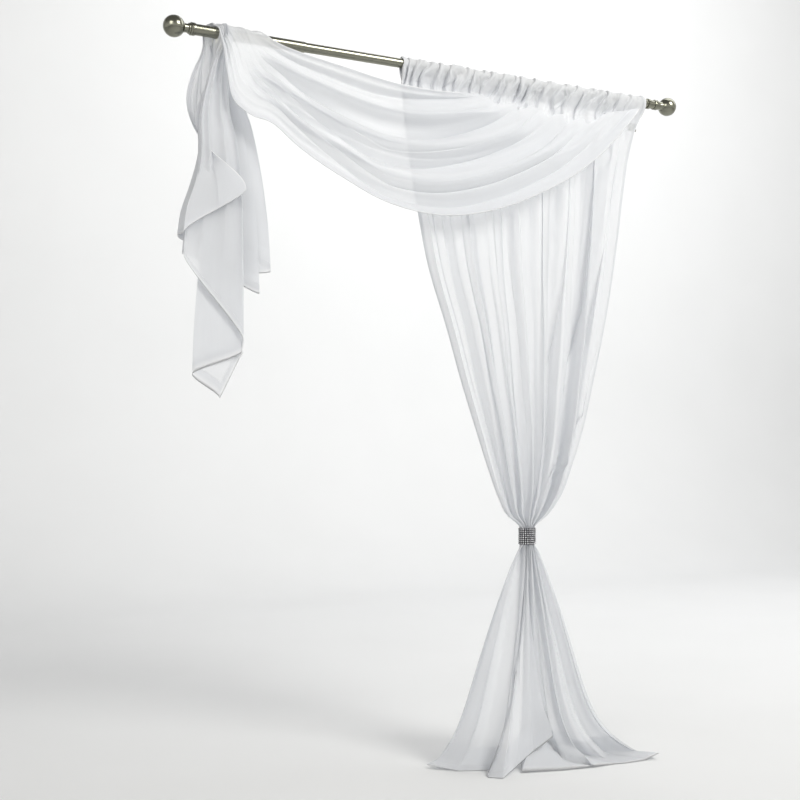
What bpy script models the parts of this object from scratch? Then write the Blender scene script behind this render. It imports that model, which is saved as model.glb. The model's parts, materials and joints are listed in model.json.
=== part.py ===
"""Voile curtain on a telescopic rod: a panel with a rod pocket, a scarf draped across it, and a tie band.

Metres throughout. +X runs along the rod to the right, -Y points into the room and +Z up. The origin is the
middle of the left wall plate's back face.
"""

import math
from collections import namedtuple

import bmesh
import bpy
from mathutils import Vector

# Driving dimensions of the rod and what it hangs from
ROD_FROM_WALL = 0.090
ROD_ABOVE_PLATE = 0.025
ROD_ABOVE_FLOOR = 2.180
OUTER_TUBE_D = 0.032
INNER_TUBE_D = 0.029
TUBE_WALL = 0.0012
BALL_SPAN = 1.761
LEFT_BALL_X = -0.157
BALL_D = 0.062
BALL_TO_TUBE = 0.0465
COLLAR_WIDTH = 0.014
TUBE_JOINT_X = 0.240
TUBE_OVERLAP = 0.150
RIGHT_BRACKET_X = 1.519
PLATE_SIZE = (0.034, 0.004, 0.100)
ARM_D = 0.010
CUP_WIDTH = 0.009
CUP_WALL = 0.0025
GAP = 0.0003

# Driving dimensions of the cloth
CLOTH = 0.0015
DRAPE_CLEARANCE = 0.002
TIE_Z = -1.447
TIE_X = 1.0175
TIE_HEIGHT = 0.052
TIE_HALF_WIDTH = 0.0305
TIE_HALF_DEPTH = 0.025
TIE_WALL = 0.003
HEADER_LEFT = 0.561
HEADER_RIGHT = 1.494
SAMPLES_PER_FOLD = 3
TURNED_STEPS = 22
ARM_SIDES = 20

# Derived places
ROD = Vector((0.0, -ROD_FROM_WALL, ROD_ABOVE_PLATE))
FLOOR_Z = ROD.z - ROD_ABOVE_FLOOR
LYING_Z = FLOOR_Z + CLOTH / 2
RIGHT_BALL_X = LEFT_BALL_X + BALL_SPAN
WRAP_R = OUTER_TUBE_D / 2 + DRAPE_CLEARANCE + CLOTH / 2

# The heading's section round the rod, from the turned-back flap over the rod to the stitching in front:
# offsets from the rod's axis, towards the room and up, how deep the gathers are there, and how far the
# right edge is drawn in.
Pocket = namedtuple("Pocket", "out up gather drawn_in")
POCKET = (
    Pocket(-0.0010, -0.056, 0.0010, 0.020),
    Pocket(-0.0120, -0.038, 0.0020, 0.010),
    Pocket(-0.0195, -0.014, 0.0022, 0.003),
    Pocket(-0.0190, 0.007, 0.0020, 0.000),
    Pocket(-0.0100, 0.0182, 0.0026, 0.000),
    Pocket(0.0030, 0.0206, 0.0030, 0.000),
    Pocket(0.0160, 0.0146, 0.0036, 0.000),
    Pocket(0.0238, -0.001, 0.0056, 0.000),
    Pocket(0.0228, -0.021, 0.0062, 0.003),
    Pocket(0.0150, -0.042, 0.0054, 0.012),
    Pocket(0.0080, -0.058, 0.0040, 0.024),
)
POCKET_SLANT = 1.3

# The panel's outline below the heading: height, left and right edges, distance from the wall, the depth of
# the main folds, that of the gathers dying out under the heading, and how far the right quarter is set back.
PanelRow = namedtuple("PanelRow", "z left right out fold gather setback")
PANEL_ROWS = (
    PanelRow(-0.050, 0.562, 1.459, 0.098, 0.004, 0.0060, 0.000),
    PanelRow(-0.090, 0.564, 1.446, 0.096, 0.008, 0.0070, 0.004),
    PanelRow(-0.160, 0.574, 1.445, 0.093, 0.012, 0.0050, 0.014),
    PanelRow(-0.270, 0.592, 1.440, 0.090, 0.014, 0.0025, 0.022),
    PanelRow(-0.420, 0.620, 1.423, 0.089, 0.016, 0.0000, 0.028),
    PanelRow(-0.600, 0.658, 1.395, 0.088, 0.018, 0.0000, 0.032),
    PanelRow(-0.780, 0.718, 1.358, 0.088, 0.020, 0.0000, 0.034),
    PanelRow(-0.960, 0.774, 1.312, 0.088, 0.023, 0.0000, 0.034),
    PanelRow(-1.110, 0.826, 1.268, 0.088, 0.026, 0.0000, 0.030),
    PanelRow(-1.230, 0.868, 1.216, 0.088, 0.028, 0.0000, 0.022),
    PanelRow(-1.320, 0.904, 1.163, 0.088, 0.028, 0.0000, 0.012),
    PanelRow(-1.380, 0.938, 1.104, 0.089, 0.025, 0.0000, 0.004),
)

# The right part of the panel, from this share of its width on, is set back behind the rest.
SETBACK_START = 0.78
SETBACK_WIDTH = 0.10

# A row for each turn of the panel's folds: its share of the width, which way and how far it stands, how far
# it leans sideways over the next, where it comes down and how high above the floor it still is there, how
# far the hem runs on from that place, how far the hem ends above the floor, and how much of the flare comes
# only at the bottom.
PanelFold = namedtuple("PanelFold", "across depth side foot_x foot_y foot_z run_x run_y lift kick")
PANEL_FOLDS = (
    PanelFold(0.000, 0.30, 0.000, 0.790, -0.045, 0.010, -0.010, 0.005, 0.000, 0.16),
    PanelFold(0.060, 0.90, 0.000, 0.706, -0.055, 0.026, -0.034, 0.006, 0.012, 0.16),
    PanelFold(0.120, -0.70, 0.004, 0.762, -0.150, 0.010, -0.018, -0.020, 0.000, 0.16),
    PanelFold(0.185, 1.00, 0.010, 0.825, -0.222, 0.012, -0.012, -0.030, 0.000, 0.15),
    PanelFold(0.250, -0.90, -0.006, 0.908, -0.190, 0.070, -0.004, -0.010, 0.022, 0.15),
    PanelFold(0.310, 0.70, 0.004, 0.980, -0.125, 0.110, 0.000, -0.006, 0.062, 0.16),
    PanelFold(0.375, -0.80, 0.000, 1.042, -0.190, 0.050, 0.006, -0.012, 0.012, 0.18),
    PanelFold(0.440, 1.00, 0.006, 0.980, -0.100, 0.008, -0.040, -0.050, 0.000, 0.20),
    PanelFold(0.500, -0.60, -0.004, 0.940, -0.125, 0.004, -0.090, -0.112, 0.000, 0.22),
    PanelFold(0.560, 0.85, 0.004, 1.030, -0.170, 0.004, -0.045, -0.100, 0.000, 0.24),
    PanelFold(0.625, -1.00, 0.000, 1.100, -0.180, 0.050, 0.010, -0.096, 0.004, 0.26),
    PanelFold(0.690, 0.75, 0.006, 1.120, -0.215, 0.006, 0.030, -0.062, 0.000, 0.28),
    PanelFold(0.750, -0.55, 0.000, 1.170, -0.190, 0.030, 0.040, -0.090, 0.002, 0.30),
    PanelFold(0.810, 1.00, 0.016, 1.216, -0.225, 0.006, 0.036, -0.054, 0.000, 0.32),
    PanelFold(0.870, -1.00, -0.012, 1.266, -0.195, 0.008, 0.080, -0.084, 0.000, 0.35),
    PanelFold(0.935, 0.60, 0.000, 1.330, -0.236, 0.022, 0.060, -0.046, 0.018, 0.36),
    PanelFold(1.000, -0.50, 0.000, 1.320, -0.165, 0.008, 0.064, -0.070, 0.002, 0.36),
)
# Where the skirt has rows of points between the tie band and the floor, and on the run of the hem.
SKIRT_STEPS = (0.025, 0.09, 0.20, 0.34, 0.50, 0.66, 0.80, 0.91, 1.00)
RUN_STEPS = (0.5, 1.0)
# The skirt flares quickly under the band and again at the floor.
FLARE_START = 0.80
FLARE_END = 10

# The bundle of cloth inside the tie band: an oval filled by the folds, which are pressed flatter there.
TIE_MARGIN = 0.002
TIED_HALF_WIDTH = 0.0260
TIED_HALF_DEPTH = 0.0195
TIED_ROUNDNESS = 1.08
TIED_PRESS = 1.2

# The scarf's cross sections from the heading along the swag, over the rod and down the tail. Each goes from
# the upper, long edge to the lower, short edge. x is along the rod, drop is how far the cloth hangs below
# the rod's top on the room side (negative behind the rod), and lean how far it stands off the rod there.
# ripple is the depth of the swag's folds, pleat the half width of the tail's pleats, and swing how far the
# tail's back layers stand out to the left.
ScarfRow = namedtuple("ScarfRow", "x drop lean low_x low_drop low_lean ripple pleat swing")
SCARF_ROWS = (
    ScarfRow(0.830, 0.096, 0.010, 1.466, 0.060, 0.026, 0.003, 0.0, 0.0),
    ScarfRow(0.785, 0.102, 0.012, 1.424, 0.100, 0.030, 0.006, 0.0, 0.0),
    ScarfRow(0.720, 0.108, 0.013, 1.270, 0.252, 0.040, 0.010, 0.0, 0.0),
    ScarfRow(0.640, 0.111, 0.014, 1.104, 0.364, 0.050, 0.013, 0.0, 0.0),
    ScarfRow(0.548, 0.109, 0.015, 0.885, 0.464, 0.055, 0.015, 0.0, 0.0),
    ScarfRow(0.460, 0.099, 0.015, 0.679, 0.508, 0.056, 0.015, 0.0, 0.0),
    ScarfRow(0.373, 0.085, 0.015, 0.488, 0.489, 0.056, 0.015, 0.0, 0.0),
    ScarfRow(0.290, 0.072, 0.014, 0.328, 0.425, 0.056, 0.014, 0.0, 0.0),
    ScarfRow(0.214, 0.059, 0.012, 0.200, 0.357, 0.056, 0.012, 0.0, 0.0),
    ScarfRow(0.152, 0.042, 0.008, 0.112, 0.294, 0.058, 0.008, 0.0, 0.0),
    ScarfRow(0.112, 0.020, 0.003, 0.048, 0.278, 0.059, 0.003, 0.0, 0.0),
    ScarfRow(0.094, 0.004, 0.004, -0.006, 0.238, 0.058, 0.0015, 0.0, 0.0),
    ScarfRow(0.076, -0.020, 0.005, -0.022, 0.156, 0.048, 0.0015, 0.0, 0.0),
    ScarfRow(0.046, -0.032, 0.006, -0.026, 0.092, 0.032, 0.0015, 0.0, 0.0),
    ScarfRow(0.012, -0.018, 0.007, -0.028, 0.044, 0.018, 0.0015, 0.0, 0.0),
    ScarfRow(-0.014, -0.017, 0.007, -0.030, 0.014, 0.009, 0.0015, 0.0, 0.0),
    ScarfRow(-0.042, -0.066, 0.007, -0.032, 0.008, 0.008, 0.0015, 0.0, 0.0),
    ScarfRow(-0.069, -0.096, 0.008, -0.034, 0.012, 0.008, 0.0010, 0.0, 0.0),
    ScarfRow(-0.081, -0.056, 0.008, -0.036, 0.024, 0.012, 0.0010, 0.0, 0.0),
    ScarfRow(-0.082, -0.010, 0.007, -0.037, 0.040, 0.020, 0.0005, 0.0, 0.0),
    ScarfRow(-0.074, 0.032, 0.005, -0.036, 0.062, 0.030, 0.0, 0.0, 0.0),
    ScarfRow(-0.060, 0.083, 0.003, -0.034, 0.092, 0.038, 0.0, 0.020, 0.0),
    ScarfRow(-0.044, 0.148, 0.003, -0.034, 0.133, 0.038, 0.0, 0.046, -0.014),
    ScarfRow(-0.032, 0.238, 0.003, -0.034, 0.193, 0.040, 0.0, 0.066, -0.046),
    ScarfRow(-0.018, 0.308, 0.002, -0.028, 0.237, 0.042, 0.0, 0.078, -0.050),
    ScarfRow(-0.008, 0.380, 0.000, -0.020, 0.282, 0.044, 0.0, 0.086, -0.008),
    ScarfRow(0.000, 0.540, -0.006, -0.010, 0.360, 0.050, 0.0, 0.093, 0.0),
    ScarfRow(-0.002, 0.720, -0.012, -0.012, 0.440, 0.054, 0.0, 0.106, 0.0),
    ScarfRow(-0.004, 0.910, -0.016, -0.020, 0.505, 0.056, 0.0, 0.118, 0.0),
    ScarfRow(-0.005, 1.084, -0.016, -0.022, 0.560, 0.058, 0.0, 0.123, 0.0),
)

# A row for each turn of the scarf's folds, from the long edge to the short one: its share of the width, how
# far it reaches to the side in the tail at the top and at the hem, how much further down the hem comes
# there, and how far it stands out in the swag.
ScarfFold = namedtuple("ScarfFold", "across side hem_side hem_drop depth")
SCARF_FOLDS = (
    ScarfFold(0.00, 0.30, 0.40, -0.132, 0.50),
    ScarfFold(0.05, -0.15, -0.15, 0.022, 0.00),
    ScarfFold(0.12, -0.64, -0.80, -0.004, -0.70),
    ScarfFold(0.24, 0.30, 0.40, -0.022, 1.00),
    ScarfFold(0.36, -0.58, -0.68, -0.017, -0.80),
    ScarfFold(0.49, 0.55, 0.84, -0.046, 0.90),
    ScarfFold(0.58, -0.40, -0.58, -0.030, -0.60),
    ScarfFold(0.63, -0.68, -0.98, -0.070, -1.00),
    ScarfFold(0.73, 1.02, 1.05, 0.004, 1.00),
    ScarfFold(0.90, -0.98, -1.00, 0.012, -0.60),
    ScarfFold(1.00, -0.18, -0.18, -0.022, 0.30),
)
# The back layers that swing out lie before SWING_START of the width, and the rest from SWING_END on don't.
SWING_START = 0.14
SWING_END = 0.30
TAIL_TOP_ROW = 22
# First row, last row and how many steps the cloth takes from one row to the next.
ROW_STEPS = ((0, 3, 1), (3, 11, 2), (11, 15, 3), (15, 20, 2), (20, 29, 1))
# How far the cloth hangs before its lower layers lean out in full.
LEAN_DROP = 0.090


def ease(share):
    """Goes from 0 to 1 with no slope at either end."""
    return (1 - math.cos(math.pi * min(max(share, 0.0), 1.0))) / 2


def between_turns(folds, column, across):
    """Value of a fold table's column at a share of the width, eased from turn to turn."""
    for here, after in zip(folds, folds[1:]):
        if across <= after.across + 1e-9:
            share = (across - here.across) / (after.across - here.across)
            start, end = getattr(here, column), getattr(after, column)
            return start + (end - start) * ease(share)
    return getattr(folds[-1], column)


def turns_passed(folds, across):
    """How many turns of a fold table lie before a share of the width, with the fraction of the next."""
    for index, (here, after) in enumerate(zip(folds, folds[1:])):
        if across <= after.across + 1e-9:
            return index + (across - here.across) / (after.across - here.across)
    return float(len(folds) - 1)


def along_rows(rows, column, position):
    """Value of a row table's column at a fractional row number, on a Catmull-Rom curve."""
    index = min(int(position), len(rows) - 2)
    share = position - index
    values = [getattr(rows[min(max(index + k, 0), len(rows) - 1)], column) for k in (-1, 0, 1, 2)]
    before, start, end, after = values
    return 0.5 * (
        2 * start
        + (end - before) * share
        + (2 * before - 5 * start + 4 * end - after) * share**2
        + (3 * start - before - 3 * end + after) * share**3
    )


def fold_stations(folds, samples):
    """Shares of the width where the cloth has a line of points: every turn and some between."""
    stations = [0.0]
    for here, after in zip(folds, folds[1:]):
        step = (after.across - here.across) / samples
        stations += [here.across + step * (k + 1) for k in range(samples)]
    return stations


def material(name, colour, roughness, metallic=0.0):
    """Principled material with one colour."""
    made = bpy.data.materials.new(name)
    made.use_nodes = True
    shader = made.node_tree.nodes["Principled BSDF"]
    shader.inputs["Base Color"].default_value = (*colour, 1.0)
    shader.inputs["Roughness"].default_value = roughness
    shader.inputs["Metallic"].default_value = metallic
    return made


def add_object(name, mesh, finish, collection):
    """New object for a mesh, in the part's collection."""
    mesh.materials.append(finish)
    made = bpy.data.objects.new(name, mesh)
    collection.objects.link(made)
    return made


def cloth_sheet(name, stations, rows, point, finish, collection):
    """Grid of cloth with a column for each station and a row for each position, given its thickness."""
    grid = bmesh.new()
    bmesh.ops.create_grid(grid, x_segments=len(stations) - 1, y_segments=len(rows) - 1, size=1.0)
    for vert in grid.verts:
        column = round((vert.co.x + 1) / 2 * (len(stations) - 1))
        row = round((vert.co.y + 1) / 2 * (len(rows) - 1))
        vert.co = point(stations[column], rows[row])
    mesh = bpy.data.meshes.new(name)
    grid.to_mesh(mesh)
    grid.free()
    mesh.shade_smooth()
    made = add_object(name, mesh, finish, collection)
    wall = made.modifiers.new("thickness", "SOLIDIFY")
    wall.thickness = CLOTH
    wall.offset = 0.0
    return made


def turned(name, profile, place, finish, collection, axis="X"):
    """Solid turned round the Z axis from (radius, height) points, laid along X unless axis is Z."""
    outline = bmesh.new()
    verts = [outline.verts.new((radius, 0.0, height)) for radius, height in profile]
    for first, second in zip(verts, verts[1:]):
        outline.edges.new((first, second))
    mesh = bpy.data.meshes.new(name)
    outline.to_mesh(mesh)
    outline.free()
    made = add_object(name, mesh, finish, collection)
    spin = made.modifiers.new("turn", "SCREW")
    spin.steps = spin.render_steps = TURNED_STEPS
    spin.use_merge_vertices = True
    spin.merge_threshold = 0.0001
    if axis == "X":
        made.rotation_euler = (0.0, math.pi / 2, 0.0)
    made.location = place
    return made


def tube(name, diameter, start, end, finish, collection):
    """Open tube along the rod's axis."""
    outer, inner = diameter / 2, diameter / 2 - TUBE_WALL
    length = end - start
    profile = ((inner, length), (outer, length), (outer, 0.0), (inner, 0.0), (inner, length))
    return turned(name, profile, (start, ROD.y, ROD.z), finish, collection)


def finial_profile(plug_radius):
    """Ball, neck, shoulder and plug, from the ball's far pole to the plug's end."""
    radius = BALL_D / 2
    neck_radius, shoulder_radius = 0.0125, 0.0155
    meets_neck = math.pi - math.asin(neck_radius / radius) * 1.15
    arc_steps = 10
    angles = [meets_neck * k / arc_steps for k in range(arc_steps + 1)]
    ball = [(radius * math.sin(a), radius * math.cos(a)) for a in angles]
    neck = [(neck_radius, -0.0335), (neck_radius, -0.0400)]
    shoulder = [(shoulder_radius, -0.0410), (shoulder_radius, -0.0462)]
    plug = [(plug_radius, -0.0462), (plug_radius, -0.0680), (0.0, -0.0680)]
    return [(0.0, radius)] + ball[1:] + neck + shoulder + plug


def finial(side, x, tube_radius, finish, collection):
    """Turned finial with its ball's middle at x, plugged into a tube of the given outer radius."""
    made = turned(
        f"finial_{side}",
        finial_profile(tube_radius - TUBE_WALL - GAP),
        (x, ROD.y, ROD.z),
        finish,
        collection,
    )
    made.rotation_euler = (0.0, -math.pi / 2 if side == "left" else math.pi / 2, 0.0)
    return made


def collar(side, start, tube_radius, finish, collection):
    """Rounded ring on the tube's end, with a groove round its middle."""
    inner, outer, width = tube_radius + GAP, tube_radius + 0.0024, COLLAR_WIDTH
    profile = (
        (inner, width),
        (outer - 0.0008, width),
        (outer, width - 0.0012),
        (outer, width * 0.58),
        (outer - 0.0010, width * 0.50),
        (outer, width * 0.42),
        (outer, 0.0012),
        (outer - 0.0008, 0.0),
        (inner, 0.0),
        (inner, width),
    )
    return turned(f"collar_{side}", profile, (start, ROD.y, ROD.z), finish, collection)


def box(name, size, centre, finish, collection, bevel=0.0):
    """Box with rounded edges."""
    shape = bmesh.new()
    bmesh.ops.create_cube(shape, size=1.0)
    bmesh.ops.scale(shape, vec=size, verts=shape.verts)
    mesh = bpy.data.meshes.new(name)
    shape.to_mesh(mesh)
    shape.free()
    made = add_object(name, mesh, finish, collection)
    made.location = centre
    if bevel:
        edge = made.modifiers.new("rounded", "BEVEL")
        edge.width = bevel
        edge.segments = 2
    return made


def bracket(side, x, tube_radius, finish, collection, cutters):
    """Wall plate, and an arm with a cup that the rod lies in."""
    box(
        f"wall_plate_{side}",
        PLATE_SIZE,
        (x, -PLATE_SIZE[1] / 2, 0.0),
        finish,
        collection,
        bevel=0.0008,
    )
    cup_inner = tube_radius + GAP
    cup_outer = cup_inner + CUP_WALL
    profile = (
        (cup_inner, CUP_WIDTH),
        (cup_outer, CUP_WIDTH),
        (cup_outer, 0.0),
        (cup_inner, 0.0),
        (cup_inner, CUP_WIDTH),
    )
    cup = turned(f"bracket_arm_{side}", profile, (x - CUP_WIDTH / 2, ROD.y, ROD.z), finish, collection)

    # The arm runs from the plate to the middle of the cup's wall behind the rod.
    wall_side = -PLATE_SIZE[1] - GAP
    cup_side = ROD.y + cup_inner + CUP_WALL / 2
    length = wall_side - cup_side
    bar = bmesh.new()
    bmesh.ops.create_cone(
        bar, cap_ends=True, segments=ARM_SIDES, radius1=ARM_D / 2, radius2=ARM_D / 2, depth=length
    )
    mesh = bpy.data.meshes.new(f"arm_shape_{side}")
    bar.to_mesh(mesh)
    bar.free()
    body = bpy.data.objects.new(mesh.name, mesh)
    body.rotation_euler = (math.pi / 2, 0.0, 0.0)
    body.location = (x, (wall_side + cup_side) / 2, ROD.z)
    body.hide_render = True
    body.display_type = "WIRE"
    cutters.objects.link(body)
    union = cup.modifiers.new("arm", "BOOLEAN")
    union.operation = "UNION"
    union.object = body
    return cup


def pocket_point(across, row):
    """Point of the heading: row is a fractional row number of the pocket's section."""
    out = along_rows(POCKET, "out", row)
    up = along_rows(POCKET, "up", row)
    away = Vector((0.0, -out, up)).normalized()
    slant = POCKET_SLANT * (row / (len(POCKET) - 1) - 0.5)
    wave = math.cos(2 * math.pi * (turns_passed(PANEL_FOLDS, across) + slant))
    spot = Vector((0.0, ROD.y - out, ROD.z + up)) + away * along_rows(POCKET, "gather", row) * wave
    right = HEADER_RIGHT - along_rows(POCKET, "drawn_in", row)
    spot.x = HEADER_LEFT + (right - HEADER_LEFT) * across
    return spot


def panel_point(across, row):
    """Point of the hanging panel between heading and tie: row is a fractional row number."""
    left, right = along_rows(PANEL_ROWS, "left", row), along_rows(PANEL_ROWS, "right", row)
    fold = along_rows(PANEL_ROWS, "fold", row)
    set_back = along_rows(PANEL_ROWS, "setback", row) * ease((across - SETBACK_START) / SETBACK_WIDTH)
    wave = between_turns(PANEL_FOLDS, "depth", across)
    lean = between_turns(PANEL_FOLDS, "side", across) * (right - left)
    puckers = math.cos(2 * math.pi * (turns_passed(PANEL_FOLDS, across) + POCKET_SLANT / 2))
    gather = along_rows(PANEL_ROWS, "gather", row) * puckers
    out = along_rows(PANEL_ROWS, "out", row) + fold * wave + gather - set_back
    return Vector((left + (right - left) * across + lean, -out, along_rows(PANEL_ROWS, "z", row)))


def tied_point(across, z):
    """Point of the bundle inside the tie band, where the folds lie close together."""
    x = TIED_HALF_WIDTH * (2 * across - 1)
    reach = TIED_HALF_DEPTH * math.sqrt(1 - (x / (TIED_HALF_WIDTH * TIED_ROUNDNESS)) ** 2)
    depth = between_turns(PANEL_FOLDS, "depth", across) * TIED_PRESS
    return Vector((TIE_X + x, ROD.y - reach * max(-1.0, min(1.0, depth)), z))


def skirt_point(across, share, run=0.0):
    """Point of the skirt: share is 0 at the tie band and 1 where it comes down, run 1 at the hem's edge."""
    fold = {name: between_turns(PANEL_FOLDS, name, across) for name in PanelFold._fields[3:]}
    top = tied_point(across, TIE_Z - TIE_HEIGHT / 2 - TIE_MARGIN)
    foot = Vector((fold["foot_x"], fold["foot_y"], LYING_Z + fold["foot_z"]))
    hem = Vector((foot.x + fold["run_x"], foot.y + fold["run_y"], LYING_Z + fold["lift"]))
    flare = (1 - fold["kick"]) * share**FLARE_START + fold["kick"] * share**FLARE_END
    spot = top + (foot - top) * flare
    spot.z = top.z + (foot.z - top.z) * share
    return spot + (hem - foot) * run


def curtain_panel(finish, collection):
    """One width of cloth from the heading's flap over the rod, through the tie band, to the floor."""
    tie_top = TIE_Z + TIE_HEIGHT / 2 + TIE_MARGIN
    tie_bottom = TIE_Z - TIE_HEIGHT / 2 - TIE_MARGIN
    rows = [lambda across, row=row: pocket_point(across, row) for row in range(len(POCKET))]
    rows += [lambda across, row=row: panel_point(across, row) for row in range(1, len(PANEL_ROWS))]
    rows += [lambda across, z=z: tied_point(across, z) for z in (tie_top, tie_bottom)]
    rows += [lambda across, share=share: skirt_point(across, share) for share in SKIRT_STEPS]
    rows += [lambda across, run=run: skirt_point(across, 1.0, run) for run in RUN_STEPS]
    stations = fold_stations(PANEL_FOLDS, SAMPLES_PER_FOLD)
    return cloth_sheet("curtain_panel", stations, rows, lambda across, row: row(across), finish, collection)


def over_rod(x, drop, stand_off):
    """Point of cloth laid over the rod: drop is measured from the rod's top, towards the room."""
    radius = WRAP_R + stand_off
    quarter = WRAP_R * math.pi / 2
    turn = max(-quarter, min(quarter, drop)) / WRAP_R
    below = max(abs(drop) - quarter, 0.0)
    return Vector((x, ROD.y - radius * math.sin(turn), ROD.z + radius * math.cos(turn) - below))


def scarf_point(across, row):
    """Point of the scarf at a share of its width and a fractional row number."""
    fold = {name: between_turns(SCARF_FOLDS, name, across) for name in ScarfFold._fields[1:]}
    value = {name: along_rows(SCARF_ROWS, name, row) for name in ScarfRow._fields}
    down = max(row - TAIL_TOP_ROW, 0.0) / (len(SCARF_ROWS) - 1 - TAIL_TOP_ROW)
    reach = fold["side"] + (fold["hem_side"] - fold["side"]) * down**2
    swing = value["swing"] * ease((SWING_END - across) / (SWING_END - SWING_START))
    x = value["x"] + (value["low_x"] - value["x"]) * across + value["pleat"] * reach + swing
    drop = value["drop"] + (value["low_drop"] - value["drop"]) * across + fold["hem_drop"] * down**2
    lean = value["lean"] + (value["low_lean"] - value["lean"]) * across * ease(drop / LEAN_DROP)
    return over_rod(x, drop, lean + value["ripple"] * fold["depth"])


def scarf(finish, collection):
    """One width of cloth from the heading, across the window, over the rod and down as a pleated tail."""
    rows = [0.0]
    for first, last, steps in ROW_STEPS:
        rows += [first + (k + 1) / steps for k in range((last - first) * steps)]
    stations = fold_stations(SCARF_FOLDS, SAMPLES_PER_FOLD)
    return cloth_sheet("scarf", stations, rows, scarf_point, finish, collection)


def tie_band(finish, collection):
    """Oval ring round the tied cloth."""
    half = TIE_HEIGHT / 2
    profile = (
        (1 - TIE_WALL / TIE_HALF_WIDTH, half),
        (1.0, half),
        (1.0, -half),
        (1 - TIE_WALL / TIE_HALF_WIDTH, -half),
        (1 - TIE_WALL / TIE_HALF_WIDTH, half),
    )
    made = turned("tie_band", profile, (TIE_X, ROD.y, TIE_Z), finish, collection, axis="Z")
    made.scale = (TIE_HALF_WIDTH, TIE_HALF_DEPTH, 1.0)
    return made


def main():
    """Builds the curtain."""
    for old in list(bpy.data.objects):
        bpy.data.objects.remove(old, do_unlink=True)
    part = bpy.data.collections.new("voile_curtain")
    cutters = bpy.data.collections.new("voile_curtain_joined_shapes")
    for made in (part, cutters):
        bpy.context.scene.collection.children.link(made)

    voile = material("voile", (0.90, 0.91, 0.93), 0.85)
    nickel = material("satin_nickel", (0.62, 0.60, 0.54), 0.30, 1.0)
    stones = material("rhinestone", (0.55, 0.55, 0.57), 0.25, 0.6)

    outer_r, inner_r = OUTER_TUBE_D / 2, INNER_TUBE_D / 2
    left_end, right_end = LEFT_BALL_X + BALL_TO_TUBE, RIGHT_BALL_X - BALL_TO_TUBE
    tube("rod_outer", OUTER_TUBE_D, left_end, TUBE_JOINT_X, nickel, part)
    tube("rod_inner", INNER_TUBE_D, TUBE_JOINT_X - TUBE_OVERLAP, right_end, nickel, part)
    finial("left", LEFT_BALL_X, outer_r, nickel, part)
    finial("right", RIGHT_BALL_X, inner_r, nickel, part)
    collar("left", left_end, outer_r, nickel, part)
    collar("right", right_end - COLLAR_WIDTH, inner_r, nickel, part)
    bracket("left", 0.0, outer_r, nickel, part, cutters)
    bracket("right", RIGHT_BRACKET_X, inner_r, nickel, part, cutters)
    curtain_panel(voile, part)
    scarf(voile, part)
    tie_band(stones, part)


if __name__ == "__main__":
    main()
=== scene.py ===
"""Looks of a voile curtain on its rod: gathered panel, draped scarf, stone-set tie band and nickel rod.

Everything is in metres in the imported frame: +X along the rod to the right, -Y into the room, +Z up, with the
origin in the middle of the left wall plate's back face.
"""

import json
import logging
import math
from collections import namedtuple
from dataclasses import dataclass
from enum import Enum
from typing import Any, Sequence

import bmesh
import bpy
import numpy as np
from mathutils import Matrix, Vector

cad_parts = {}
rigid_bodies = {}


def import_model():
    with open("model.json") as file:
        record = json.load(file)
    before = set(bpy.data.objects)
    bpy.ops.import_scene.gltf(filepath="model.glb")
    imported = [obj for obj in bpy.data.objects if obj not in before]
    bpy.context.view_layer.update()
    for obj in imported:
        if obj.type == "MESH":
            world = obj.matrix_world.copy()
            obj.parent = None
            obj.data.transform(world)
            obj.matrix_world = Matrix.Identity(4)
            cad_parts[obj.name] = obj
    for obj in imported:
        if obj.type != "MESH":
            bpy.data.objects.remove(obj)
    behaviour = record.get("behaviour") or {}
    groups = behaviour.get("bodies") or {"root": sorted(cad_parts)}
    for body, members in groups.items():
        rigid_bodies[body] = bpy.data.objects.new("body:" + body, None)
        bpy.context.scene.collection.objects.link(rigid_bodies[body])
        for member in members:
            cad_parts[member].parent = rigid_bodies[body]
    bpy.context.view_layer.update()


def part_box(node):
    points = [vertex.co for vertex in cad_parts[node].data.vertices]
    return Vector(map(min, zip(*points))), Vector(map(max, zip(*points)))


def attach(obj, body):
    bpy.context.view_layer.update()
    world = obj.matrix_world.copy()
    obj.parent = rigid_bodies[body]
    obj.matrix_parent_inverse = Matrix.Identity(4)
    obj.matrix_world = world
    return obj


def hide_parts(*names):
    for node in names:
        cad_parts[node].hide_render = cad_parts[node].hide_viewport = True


LOG = logging.getLogger("voile_curtain")
BODY = "root"
FULL_TURN = 2 * math.pi
TINY = 1e-9
STUDIO_WHITE = "FFFEFB"

# Thickness of the frame's cloth solids, and the gap between pieces that fit over each other
CLOTH = 0.0015
GAP = 0.0003


def ease(share: np.ndarray | float) -> np.ndarray:
    """Goes from 0 to 1 with no slope at either end."""
    return (1 - np.cos(math.pi * np.clip(share, 0.0, 1.0))) / 2


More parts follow.
